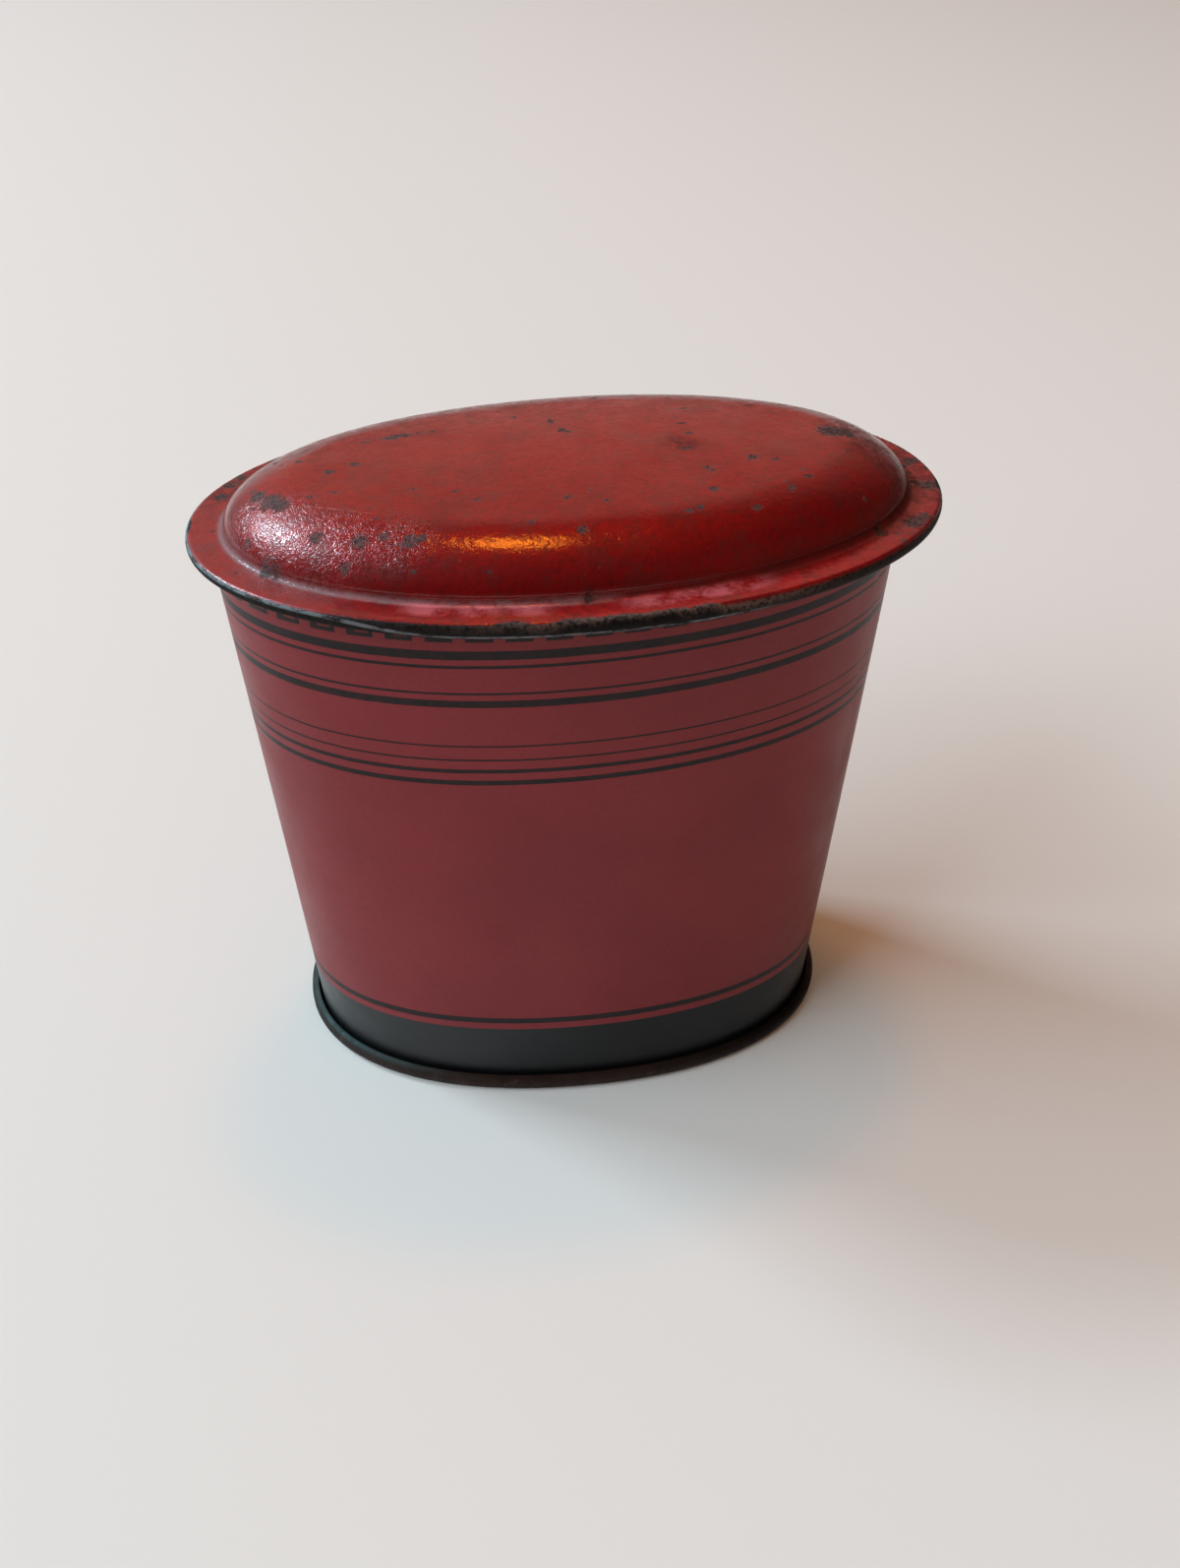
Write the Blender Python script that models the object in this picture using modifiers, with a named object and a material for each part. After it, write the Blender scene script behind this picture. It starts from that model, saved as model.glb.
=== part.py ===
"""Oval tinplate money box: folded shells, a coin slot in the back wall, and a hinged trap below.

Metres, +Z up. The origin is on the table, under the middle of the box.
+X runs along the long axis and the visible side faces -Y, so the coin slot is on the +Y side.
"""

import math

import bmesh
import bpy
from mathutils import Matrix, Vector

# Tinplate and fits
SHEET = 0.00035          # thickness of the tinplate
GAP = 0.0003             # clearance between pieces that touch
OVERRUN = 0.002          # how far a cutter runs past what it cuts
MERGE_DISTANCE = 0.00001

# The oval and the rim of the lid
RIM_LENGTH = 0.114
RIM_WIDTH = 0.070
RIM_HEIGHT = 0.0955      # top of the lid's ledge above the table
OVAL_POWER_SHARE = 2.07  # 2 is an ellipse, more is fuller at the corners
OVAL_STEPS = 64          # points round every oval

# The dome of the lid
LEDGE_WIDTH = 0.0055     # flat ledge between the rim's edge and the foot of the dome
CREASE_RADIUS = 0.0010
SHOULDER_WIDTH = 0.0105
SHOULDER_RISE = 0.0062
CROWN_RISE = 0.0019
SHOULDER_POWER_SHARE = 1.7
HEM_RETURN = 0.0030      # the hem's return under the ledge, from the rim's edge

# The body's wall
RIM_OVERHANG = 0.0046    # how far the rim stands out past the wall
BASE_LENGTH = 0.0906
BASE_WIDTH = 0.0564
WALL_BEND = 0.0008

# The foot
FOOT_HEIGHT = 0.0025
FOOT_PROUD = 0.0018      # how far the foot stands out past the wall
PANEL_LIFT = 0.0052      # underside of the base panel above the table
PANEL_BEND = 0.0007

# The coin slot
SLOT_LENGTH = 0.036
SLOT_HEIGHT = 0.0045
SLOT_DROP = 0.0193       # slot's centre below the top of the rim
SLOT_CORNER = 0.0008

# The trap and its mouth in the base panel
MOUTH_LENGTH = 0.041
MOUTH_WIDTH = 0.033
MOUTH_CORNER = 0.005
TRAP_LAP = 0.0025        # how far the door reaches past the mouth
TRAP_DEPTH = 0.0014      # door's height with its turned edge
TRAP_FOLD = 0.0005

# The trap's hinge
PIN_RADIUS = 0.0006
PIN_CLEARANCE = 0.0001
PIN_PROUD = 0.0005       # how far the pin stands out past the knuckles
HINGE_LENGTH = 0.030
DOOR_KNUCKLE_LENGTH = 0.010
HINGE_SETBACK = 0.0006   # between the door's edge and the knuckles
LEAF_WIDTH = 0.0065
RIVET_RADIUS = 0.0008
RIVET_HEAD_RADIUS = 0.0015
RIVET_HEAD_HEIGHT = 0.0005
RIVET_PITCH = 0.018

# The latch
LATCH_SETBACK = 0.0075   # plug's axis inside the edge of the mouth
TONGUE_BITE = 0.0035     # tongue's reach past the edge of the mouth when it is turned to lock
TONGUE_THICKNESS = 0.0008
TONGUE_EYE_RADIUS = 0.0036
TONGUE_TIP_RADIUS = 0.0020
PLUG_RADIUS = 0.0020
PLUG_HEAD_RADIUS = 0.0045
PLUG_HEAD_HEIGHT = 0.0008
PLUG_PEEN_RADIUS = 0.0030
PLUG_PEEN_HEIGHT = 0.0006
KEY_SLOT_LENGTH = 0.0060
KEY_SLOT_WIDTH = 0.0012
KEY_SLOT_DEPTH = 0.0005
WASHER_RADIUS = 0.0040

# Facets and shading
SHARP_ANGLE = math.radians(35)
FOLD_STEPS = 6
BEND_STEPS = 3
SHOULDER_STEPS = 7
CROWN_STEPS = 3
ROUND_STEPS = 24
CORNER_STEPS = 5
DOOR_FOLD_STEPS = 2
ROUND_PROFILE_SHARE = 0.5   # gives a bevel a round section

# Worked out from the sizes above
HEM_HEIGHT = 3 * SHEET + 2 * GAP
UNDER_LEDGE = RIM_HEIGHT - SHEET - GAP
RIM_HALF = Vector((RIM_LENGTH / 2, RIM_WIDTH / 2))
WALL_TOP_HALF = RIM_HALF - Vector((RIM_OVERHANG, RIM_OVERHANG))
BASE_HALF = Vector((BASE_LENGTH / 2, BASE_WIDTH / 2))
FOOT_HALF = BASE_HALF + Vector((FOOT_PROUD, FOOT_PROUD))
PANEL_TOP = PANEL_LIFT + SHEET
DOOR_TOP = PANEL_LIFT - GAP
DOOR_UNDER = DOOR_TOP - SHEET
DOOR_HALF_LENGTH = MOUTH_LENGTH / 2 + TRAP_LAP
DOOR_HALF_WIDTH = MOUTH_WIDTH / 2 + TRAP_LAP
BORE_RADIUS = PIN_RADIUS + PIN_CLEARANCE
KNUCKLE_RADIUS = BORE_RADIUS + SHEET
HINGE_X = -(DOOR_HALF_LENGTH + HINGE_SETBACK + KNUCKLE_RADIUS)
HINGE_Z = DOOR_TOP - KNUCKLE_RADIUS
LATCH_X = MOUTH_LENGTH / 2 - LATCH_SETBACK
TONGUE_Z = PANEL_TOP + GAP
SLOT_Z = RIM_HEIGHT - SLOT_DROP


def clear_scene():
    for old in list(bpy.data.objects):
        bpy.data.objects.remove(old, do_unlink=True)


def collection(name):
    made = bpy.data.collections.new(name)
    bpy.context.scene.collection.children.link(made)
    return made


def finish(name, colour, roughness, metallic):
    material = bpy.data.materials.new(name)
    material.use_nodes = True
    shader = material.node_tree.nodes["Principled BSDF"]
    shader.inputs["Base Color"].default_value = (*colour, 1)
    shader.inputs["Roughness"].default_value = roughness
    shader.inputs["Metallic"].default_value = metallic
    return material


def add_object(name, mesh, group, material=None, location=(0, 0, 0), parent=None):
    thing = bpy.data.objects.new(name, mesh)
    group.objects.link(thing)
    thing.location = location
    thing.parent = parent
    if material:
        mesh.materials.append(material)
    return thing


def mesh_from(name, builder):
    mesh = bpy.data.meshes.new(name)
    builder.to_mesh(mesh)
    builder.free()
    return mesh


def smooth(thing):
    thing.data.shade_smooth()
    thing.data.set_sharp_from_angle(angle=SHARP_ANGLE)


def solidify(thing):
    """Gives an open surface the tinplate's thickness, behind its faces."""
    modifier = thing.modifiers.new("sheet", "SOLIDIFY")
    modifier.thickness = SHEET
    modifier.offset = -1
    modifier.use_even_offset = True


def cut(thing, cutter):
    modifier = thing.modifiers.new("cut " + cutter.name, "BOOLEAN")
    modifier.operation = "DIFFERENCE"
    modifier.object = cutter


def join(thing, other):
    modifier = thing.modifiers.new("join " + other.name, "BOOLEAN")
    modifier.operation = "UNION"
    modifier.object = other


def guide(thing):
    """Marks a cutter or a joined blank, which isn't a piece of the box."""
    thing.hide_render = True
    thing.display_type = "WIRE"
    return thing


def oval_point(half, step):
    """A point of a superellipse; step counts round from +X."""
    angle = 2 * math.pi * step / OVAL_STEPS
    power = 2 / OVAL_POWER_SHARE
    across, along = math.sin(angle), math.cos(angle)
    x = half[0] * math.copysign(abs(along) ** power, along)
    y = half[1] * math.copysign(abs(across) ** power, across)
    return x, y


def oval_half_width(half, x):
    """Half the oval's width at a place x along its length."""
    power = OVAL_POWER_SHARE
    return half[1] * (1 - (x / half[0]) ** power) ** (1 / power)


def inset(half, depth):
    return half - Vector((depth, depth))


def oval_sheet(name, rings, group, material, centre_height=None):
    """A folded or pressed oval of tinplate.

    rings lists (half sizes, height) along the outer side, from one edge of the sheet to the other,
    and runs up the outside. Where centre_height isn't None, the last ring closes to a point there.
    """
    builder = bmesh.new()
    rows = []
    for half, height in rings:
        row = []
        for step in range(OVAL_STEPS):
            x, y = oval_point(half, step)
            row.append(builder.verts.new((x, y, height)))
        rows.append(row)
    for first, second in zip(rows, rows[1:]):
        for step in range(OVAL_STEPS):
            after = (step + 1) % OVAL_STEPS
            builder.faces.new((first[step], first[after], second[after], second[step]))
    if centre_height is not None:
        centre = builder.verts.new((0, 0, centre_height))
        for step in range(OVAL_STEPS):
            after = (step + 1) % OVAL_STEPS
            builder.faces.new((rows[-1][step], rows[-1][after], centre))
    thing = add_object(name, mesh_from(name, builder), group, material)
    solidify(thing)
    smooth(thing)
    return thing


def arc(radius, start, end, steps):
    """Offsets outward and upward from an arc's centre; angles in degrees from outward."""
    for step in range(steps + 1):
        angle = math.radians(start + (end - start) * step / steps)
        yield radius * math.cos(angle), radius * math.sin(angle)


def dome_height(depth, shoulder_rise):
    """Height of the dome's skin above the top of its crease, depth in from the dome's foot."""
    reach = max(0, 1 - depth / SHOULDER_WIDTH)
    shoulder = (1 - reach ** SHOULDER_POWER_SHARE) ** (1 / SHOULDER_POWER_SHARE)
    left_share = 1 - depth / (RIM_WIDTH / 2 - LEDGE_WIDTH)
    return shoulder_rise * shoulder + CROWN_RISE * (1 - left_share ** 2)


def lid_rings():
    """From the end of the hem's return, round the hem, over the ledge and up the dome."""
    fold = HEM_HEIGHT / 2
    rings = [(inset(RIM_HALF, HEM_RETURN), RIM_HEIGHT - HEM_HEIGHT)]
    for outward, upward in arc(fold, -90, 90, FOLD_STEPS):
        rings.append((inset(RIM_HALF, fold - outward), RIM_HEIGHT - fold + upward))
    for outward, upward in arc(CREASE_RADIUS, -90, -180, BEND_STEPS):
        depth = LEDGE_WIDTH - CREASE_RADIUS - outward
        rings.append((inset(RIM_HALF, depth), RIM_HEIGHT + CREASE_RADIUS + upward))
    foot = inset(RIM_HALF, LEDGE_WIDTH)
    rise = SHOULDER_RISE - CREASE_RADIUS
    base = RIM_HEIGHT + CREASE_RADIUS
    for step in range(1, SHOULDER_STEPS + 1):
        depth = SHOULDER_WIDTH * (1 - math.cos(math.pi / 2 * step / SHOULDER_STEPS))
        rings.append((inset(foot, depth), base + dome_height(depth, rise)))
    plateau = inset(foot, SHOULDER_WIDTH)
    for step in range(1, CROWN_STEPS):
        share = 1 - step / CROWN_STEPS
        depth = foot[1] - plateau[1] * share
        rings.append((plateau * share, base + dome_height(depth, rise)))
    return rings


def domed_lid(group):
    red = finish("lid_red", (0.26, 0.022, 0.018), 0.32, 0.1)
    oval_sheet("domed_lid", lid_rings(), group, red, RIM_HEIGHT + SHOULDER_RISE + CROWN_RISE)


def wall_half(height):
    """Half sizes of the wall's outer side at a height; the wall is straight from foot to rim."""
    share = (height - FOOT_HEIGHT) / (RIM_HEIGHT - HEM_HEIGHT - FOOT_HEIGHT)
    return BASE_HALF.lerp(WALL_TOP_HALF, share)


def body_rings():
    """From the edge of the foot flange, up the wall, to the edge of the rim flange."""
    low = (FOOT_HEIGHT + SHEET) / 2
    rings = [(inset(FOOT_HALF, SHEET + GAP), low)]
    for outward, upward in arc(WALL_BEND, 270, 180, BEND_STEPS):
        half = wall_half(low + WALL_BEND)
        rings.append((inset(half, -WALL_BEND - outward), low + WALL_BEND + upward))
    high = UNDER_LEDGE - SHEET
    for outward, upward in arc(WALL_BEND, 180, 90, BEND_STEPS):
        half = wall_half(high - WALL_BEND)
        rings.append((inset(half, -WALL_BEND - outward), high - WALL_BEND + upward))
    rings.append((inset(RIM_HALF, SHEET + GAP), high))
    return rings


def body_shell(group, cutters):
    maroon = finish("body_maroon", (0.13, 0.028, 0.032), 0.45, 0.1)
    shell = oval_sheet("body_shell", body_rings(), group, maroon)
    half = wall_half(SLOT_Z)
    near = oval_half_width(half, SLOT_LENGTH / 2) - SHEET - OVERRUN
    far = half[1] + OVERRUN
    slot = block("slot_cutter", (SLOT_LENGTH, far - near, SLOT_HEIGHT), SLOT_CORNER, "Y", cutters,
                 (0, (near + far) / 2, SLOT_Z))
    cut(shell, guide(slot))


def base_rings():
    """From the tip of the curl over the foot flange, under it, and up to the base panel."""
    fold = FOOT_HEIGHT / 2
    rings = []
    for outward, upward in arc(fold, 90, -90, FOLD_STEPS):
        rings.append((inset(FOOT_HALF, fold - outward), fold + upward))
    recess = inset(BASE_HALF, 2 * SHEET + GAP)
    for outward, upward in arc(PANEL_BEND, 90, 180, BEND_STEPS - 1):
        rings.append((inset(recess, -PANEL_BEND - outward), PANEL_BEND - upward))
    for outward, upward in arc(PANEL_BEND, 0, 90, BEND_STEPS - 1):
        rings.append((inset(recess, PANEL_BEND - outward), PANEL_LIFT - PANEL_BEND + upward))
    return rings


def base_pan(group, cutters):
    black = finish("foot_black", (0.020, 0.014, 0.013), 0.5, 0.3)
    pan = oval_sheet("base_pan", base_rings(), group, black, PANEL_LIFT)
    pan.data.flip_normals()  # these rings run down the outside
    mouth = block("mouth_cutter", (MOUTH_LENGTH, MOUTH_WIDTH, 2 * OVERRUN), MOUTH_CORNER, "Z",
                  cutters, (0, 0, PANEL_LIFT))
    cut(pan, guide(mouth))
    for place in rivet_places():
        cut(pan, rivet_hole(cutters, place))


def box_builder(size, corner, axis):
    """A box, centred on its origin, whose four edges along an axis are rounded."""
    builder = bmesh.new()
    bmesh.ops.create_cube(builder, size=1)
    bmesh.ops.scale(builder, vec=size, verts=builder.verts)
    if corner:
        side = "XYZ".index(axis)
        along = [edge for edge in builder.edges
                 if edge.verts[0].co[side] * edge.verts[1].co[side] < 0]
        round_edges(builder, along, corner, CORNER_STEPS)
    return builder


def round_edges(builder, edges, radius, steps):
    bmesh.ops.bevel(builder, geom=edges, offset=radius, segments=steps,
                    profile=ROUND_PROFILE_SHARE, affect="EDGES")


def block(name, size, corner, axis, group, location=(0, 0, 0), parent=None):
    mesh = mesh_from(name, box_builder(size, corner, axis))
    return add_object(name, mesh, group, None, location, parent)


def rod(name, radius, length, axis, group, location=(0, 0, 0), parent=None):
    """A round bar along the Y or Z axis, centred on its origin."""
    turn = Matrix.Rotation(math.pi / 2, 4, "X") if axis == "Y" else Matrix.Identity(4)
    builder = bmesh.new()
    bmesh.ops.create_cone(builder, cap_ends=True, segments=ROUND_STEPS, radius1=radius,
                          radius2=radius, depth=length, matrix=turn)
    return add_object(name, mesh_from(name, builder), group, None, location, parent)


def turned(name, profile, group, material, location, parent=None, ring=False):
    """A turned piece: (radius, height) points down its outer side, spun round Z.

    A ring's points go on up its bore to the first point again.
    """
    mesh = bpy.data.meshes.new(name)
    points = [(radius, 0, height) for radius, height in profile]
    edges = [(at, at + 1) for at in range(len(points) - 1)]
    if ring:
        edges.append((len(points) - 1, 0))
    mesh.from_pydata(points, edges, [])
    piece = add_object(name, mesh, group, material, location, parent)
    screw = piece.modifiers.new("turn", "SCREW")
    screw.steps = ROUND_STEPS
    screw.render_steps = ROUND_STEPS
    screw.use_merge_vertices = True
    screw.merge_threshold = MERGE_DISTANCE
    return piece


def rivet_places():
    x = HINGE_X - (KNUCKLE_RADIUS + LEAF_WIDTH) / 2
    return [(x, side * RIVET_PITCH / 2, DOOR_UNDER) for side in (-1, 1)]


def rivet_hole(cutters, place):
    length = 2 * (PANEL_TOP - DOOR_UNDER + OVERRUN)
    return guide(rod("rivet_hole_cutter", RIVET_RADIUS + GAP, length, "Z", cutters, place))


def hinge_rivet(number, place, group):
    """Joins the hinge leaf to the base panel; its origin is on the leaf's underside."""
    steel = finish(f"rivet_steel_{number}", (0.28, 0.27, 0.26), 0.4, 1)
    top = PANEL_TOP - DOOR_UNDER + GAP
    head, shank = RIVET_HEAD_RADIUS, RIVET_RADIUS
    crown_share = 0.6
    profile = [(0, top + RIVET_HEAD_HEIGHT), (head * crown_share, top + RIVET_HEAD_HEIGHT),
               (head, top), (shank, top), (shank, -GAP), (head, -GAP),
               (head * crown_share, -GAP - RIVET_HEAD_HEIGHT), (0, -GAP - RIVET_HEAD_HEIGHT)]
    turned(f"hinge_rivet_{number}", profile, group, steel, place)


def hinge_pin(group):
    wire = finish("pin_steel", (0.30, 0.29, 0.28), 0.35, 1)
    pin = rod("hinge_pin", PIN_RADIUS, HINGE_LENGTH + 2 * PIN_PROUD, "Y", group,
              (HINGE_X, 0, HINGE_Z))
    pin.data.materials.append(wire)
    smooth(pin)


def bore(thing, cutters, parent=None, location=(HINGE_X, 0, HINGE_Z)):
    drill = rod(thing.name + "_bore_cutter", BORE_RADIUS, HINGE_LENGTH + 2 * OVERRUN, "Y",
                cutters, location, parent)
    cut(thing, guide(drill))


def hinge_leaf(group, cutters):
    """The fixed half of the hinge: a plate under the base panel that carries two knuckles."""
    tin = finish("leaf_tin", (0.20, 0.19, 0.17), 0.4, 1)
    plate_z = (DOOR_TOP + DOOR_UNDER) / 2
    leaf = block("hinge_leaf", (LEAF_WIDTH, HINGE_LENGTH, SHEET), 0, "Z", group,
                 (HINGE_X - LEAF_WIDTH / 2, 0, plate_z))
    leaf.data.materials.append(tin)
    side_length = (HINGE_LENGTH - DOOR_KNUCKLE_LENGTH) / 2 - GAP
    side_y = HINGE_LENGTH / 2 - side_length / 2
    for side in (-1, 1):
        knuckle = rod("leaf_knuckle", KNUCKLE_RADIUS, side_length, "Y", cutters,
                      (HINGE_X, side * side_y, HINGE_Z))
        join(leaf, guide(knuckle))
    notch = (2 * (KNUCKLE_RADIUS + GAP), DOOR_KNUCKLE_LENGTH + 2 * GAP, 2 * OVERRUN)
    gate = block("leaf_notch_cutter", notch, 0, "Z", cutters, (HINGE_X, 0, plate_z))
    cut(leaf, guide(gate))
    bore(leaf, cutters)
    for place in rivet_places():
        cut(leaf, rivet_hole(cutters, place))


def door_tray():
    """The door's plate with its edge turned down, open below."""
    size = (2 * DOOR_HALF_LENGTH, 2 * DOOR_HALF_WIDTH, TRAP_DEPTH)
    builder = box_builder(size, MOUTH_CORNER + TRAP_LAP / 2, "Z")
    by_height = sorted(builder.faces, key=lambda face: face.calc_center_median().z)
    under, top = by_height[0], by_height[-1]
    bmesh.ops.delete(builder, geom=[under], context="FACES_ONLY")
    round_edges(builder, list(top.edges), TRAP_FOLD, DOOR_FOLD_STEPS)
    centre = Vector((-HINGE_X, 0, DOOR_TOP - TRAP_DEPTH / 2 - HINGE_Z))
    bmesh.ops.translate(builder, vec=centre, verts=builder.verts)
    return builder


def trap_door(group, cutters, hinge):
    """The door with a tab and one knuckle; its origin is the hinge's axis."""
    black = finish("trap_black", (0.022, 0.017, 0.016), 0.45, 0.3)
    mesh = mesh_from("trap_door", door_tray())
    door = add_object("trap_door", mesh, group, black, (0, 0, 0), hinge)
    solidify(door)
    reach = HINGE_SETBACK + KNUCKLE_RADIUS + TRAP_FOLD + SHEET
    tab = block("door_tab", (reach, DOOR_KNUCKLE_LENGTH, SHEET), 0, "Z", cutters,
                (reach / 2, 0, KNUCKLE_RADIUS - SHEET / 2), hinge)
    knuckle = rod("door_knuckle", KNUCKLE_RADIUS, DOOR_KNUCKLE_LENGTH, "Y", cutters,
                  (0, 0, 0), hinge)
    join(door, guide(tab))
    join(door, guide(knuckle))
    bore(door, cutters, hinge, (0, 0, 0))
    plug_hole = rod("plug_hole_cutter", PLUG_RADIUS + GAP, 2 * OVERRUN, "Z", cutters,
                    (LATCH_X - HINGE_X, 0, DOOR_TOP - HINGE_Z), hinge)
    cut(door, guide(plug_hole))
    smooth(door)


def key_plug(group, cutters, latch):
    """Turned by the key from below; its origin is its axis, level with the door's top."""
    brass = finish("plug_brass", (0.42, 0.30, 0.12), 0.35, 1)
    head_top = -SHEET - GAP
    tongue_top = TONGUE_Z + TONGUE_THICKNESS - DOOR_TOP
    peen = tongue_top + GAP
    profile = [(0, peen + PLUG_PEEN_HEIGHT), (PLUG_PEEN_RADIUS, peen + PLUG_PEEN_HEIGHT),
               (PLUG_PEEN_RADIUS, peen), (PLUG_RADIUS, peen), (PLUG_RADIUS, head_top),
               (PLUG_HEAD_RADIUS, head_top), (PLUG_HEAD_RADIUS, head_top - PLUG_HEAD_HEIGHT),
               (0, head_top - PLUG_HEAD_HEIGHT)]
    plug = turned("key_plug", profile, group, brass, (0, 0, 0), latch)
    slot = block("key_slot_cutter", (KEY_SLOT_WIDTH, KEY_SLOT_LENGTH, 2 * KEY_SLOT_DEPTH), 0, "Z",
                 cutters, (0, 0, head_top - PLUG_HEAD_HEIGHT), latch)
    cut(plug, guide(slot))


def tongue_outline():
    """Eye round the plug and a narrower tip towards -Y, with straight sides between them."""
    reach = LATCH_SETBACK + TONGUE_BITE - TONGUE_TIP_RADIUS
    half_turn = ROUND_STEPS // 2
    points = []
    for radius, start, drop in ((TONGUE_EYE_RADIUS, 0, 0), (TONGUE_TIP_RADIUS, math.pi, reach)):
        for step in range(half_turn + 1):
            angle = start + math.pi * step / half_turn
            points.append((radius * math.cos(angle), radius * math.sin(angle) - drop))
    return points


def flat_plate(name, outline, thickness):
    """A mesh of a flat outline, thickness high and centred on its own plane."""
    curve = bpy.data.curves.new(name, "CURVE")
    curve.dimensions = "2D"
    curve.fill_mode = "BOTH"
    curve.extrude = thickness / 2
    spline = curve.splines.new("POLY")
    spline.points.add(len(outline) - 1)
    for point, (x, y) in zip(spline.points, outline):
        point.co = (x, y, 0, 1)
    spline.use_cyclic_u = True
    blank = bpy.data.objects.new(name + "_blank", curve)
    bpy.context.scene.collection.objects.link(blank)
    evaluated = blank.evaluated_get(bpy.context.evaluated_depsgraph_get())
    mesh = bpy.data.meshes.new_from_object(evaluated)
    bpy.data.objects.remove(blank, do_unlink=True)
    mesh.materials.clear()
    builder = bmesh.new()
    builder.from_mesh(mesh)
    bpy.data.meshes.remove(mesh)
    bmesh.ops.remove_doubles(builder, verts=builder.verts, dist=MERGE_DISTANCE)
    bmesh.ops.recalc_face_normals(builder, faces=builder.faces)
    return mesh_from(name, builder)


def latch_tongue(group, cutters, latch):
    """Turns over the base panel's edge to lock the trap; at rest it lies clear of the edge."""
    steel = finish("tongue_steel", (0.30, 0.29, 0.28), 0.4, 1)
    middle = (0, 0, TONGUE_Z + TONGUE_THICKNESS / 2 - DOOR_TOP)
    mesh = flat_plate("latch_tongue", tongue_outline(), TONGUE_THICKNESS)
    tongue = add_object("latch_tongue", mesh, group, steel, middle, latch)
    hole = rod("tongue_hole_cutter", PLUG_RADIUS + GAP, 2 * OVERRUN, "Z", cutters, middle, latch)
    cut(tongue, guide(hole))


def latch_washer(group, latch):
    """Spacer between the door and the tongue."""
    steel = finish("washer_steel", (0.32, 0.31, 0.30), 0.4, 1)
    low = GAP
    high = TONGUE_Z - GAP - DOOR_TOP
    bore_radius = PLUG_RADIUS + GAP
    profile = [(WASHER_RADIUS, high), (WASHER_RADIUS, low), (bore_radius, low),
               (bore_radius, high)]
    turned("latch_washer", profile, group, steel, (0, 0, 0), latch, ring=True)


def axis_empty(name, group, location, parent=None):
    empty = bpy.data.objects.new(name, None)
    group.objects.link(empty)
    empty.location = location
    empty.parent = parent
    return empty


def build():
    clear_scene()
    parts = collection("money_box")
    cutters = collection("cutters")
    hinge = axis_empty("trap_hinge_axis", cutters, (HINGE_X, 0, HINGE_Z))
    latch = axis_empty("latch_axis", cutters, (LATCH_X - HINGE_X, 0, DOOR_TOP - HINGE_Z), hinge)
    body_shell(parts, cutters)
    domed_lid(parts)
    base_pan(parts, cutters)
    hinge_leaf(parts, cutters)
    hinge_pin(parts)
    for number, place in enumerate(rivet_places(), start=1):
        hinge_rivet(number, place, parts)
    trap_door(parts, cutters, hinge)
    key_plug(parts, cutters, latch)
    latch_tongue(parts, cutters, latch)
    latch_washer(parts, latch)


build()
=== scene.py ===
"""Looks of the oval tinplate money box: lacquered lid, printed wall, black foot and worn edges.

Metres, +Z up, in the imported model's frame. The visible front faces -Y.
"""

import math
import random

import bmesh
import bpy
from mathutils import Matrix, Vector
from mathutils import noise as field

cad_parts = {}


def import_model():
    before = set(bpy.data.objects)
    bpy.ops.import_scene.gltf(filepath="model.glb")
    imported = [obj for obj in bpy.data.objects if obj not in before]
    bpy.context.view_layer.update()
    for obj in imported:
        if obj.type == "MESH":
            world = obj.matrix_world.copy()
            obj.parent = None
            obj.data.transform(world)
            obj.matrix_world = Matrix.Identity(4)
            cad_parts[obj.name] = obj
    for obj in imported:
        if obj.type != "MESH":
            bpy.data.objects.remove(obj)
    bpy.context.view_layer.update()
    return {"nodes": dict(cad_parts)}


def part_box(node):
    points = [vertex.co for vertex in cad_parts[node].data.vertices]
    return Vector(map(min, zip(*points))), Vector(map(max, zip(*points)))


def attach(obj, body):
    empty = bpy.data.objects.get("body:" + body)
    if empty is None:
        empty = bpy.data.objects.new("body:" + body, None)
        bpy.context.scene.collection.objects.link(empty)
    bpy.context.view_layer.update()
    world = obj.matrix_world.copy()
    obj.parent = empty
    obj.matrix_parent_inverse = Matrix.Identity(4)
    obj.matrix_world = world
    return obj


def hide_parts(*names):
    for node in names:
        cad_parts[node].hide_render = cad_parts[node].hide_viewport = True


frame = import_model()

MM = 0.001

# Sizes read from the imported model
LID_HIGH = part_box("domed_lid")[1]
PAN_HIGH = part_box("base_pan")[1]
RIM_HALF = Vector((LID_HIGH.x, LID_HIGH.y))
FOOT_HALF = Vector((PAN_HIGH.x, PAN_HIGH.y))

# Sizes that the model is built from
SHEET = 0.35 * MM
GAP = 0.3 * MM
OVAL_POWER_SHARE = 2.07
RIM_HEIGHT = 95.5 * MM
LEDGE_WIDTH = 5.5 * MM
CREASE_RADIUS = 1.0 * MM
SHOULDER_WIDTH = 10.5 * MM
SHOULDER_RISE = 6.2 * MM
CROWN_RISE = 1.9 * MM
SHOULDER_POWER_SHARE = 1.7
HEM_RETURN = 3.0 * MM
RIM_OVERHANG = 4.6 * MM
WALL_BEND = 0.8 * MM
FOOT_HEIGHT = 2.5 * MM
FOOT_PROUD = 1.8 * MM
PANEL_LIFT = 5.2 * MM
PANEL_BEND = 0.7 * MM
SLOT_LENGTH = 36 * MM
SLOT_HEIGHT = 4.5 * MM
SLOT_DROP = 19.3 * MM
SLOT_CORNER = 0.8 * MM
MOUTH_LENGTH = 41 * MM
MOUTH_WIDTH = 33 * MM
MOUTH_CORNER = 5 * MM
OVERRUN = 2 * MM
SLOT_CUT_DEPTH = 5 * MM

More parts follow.
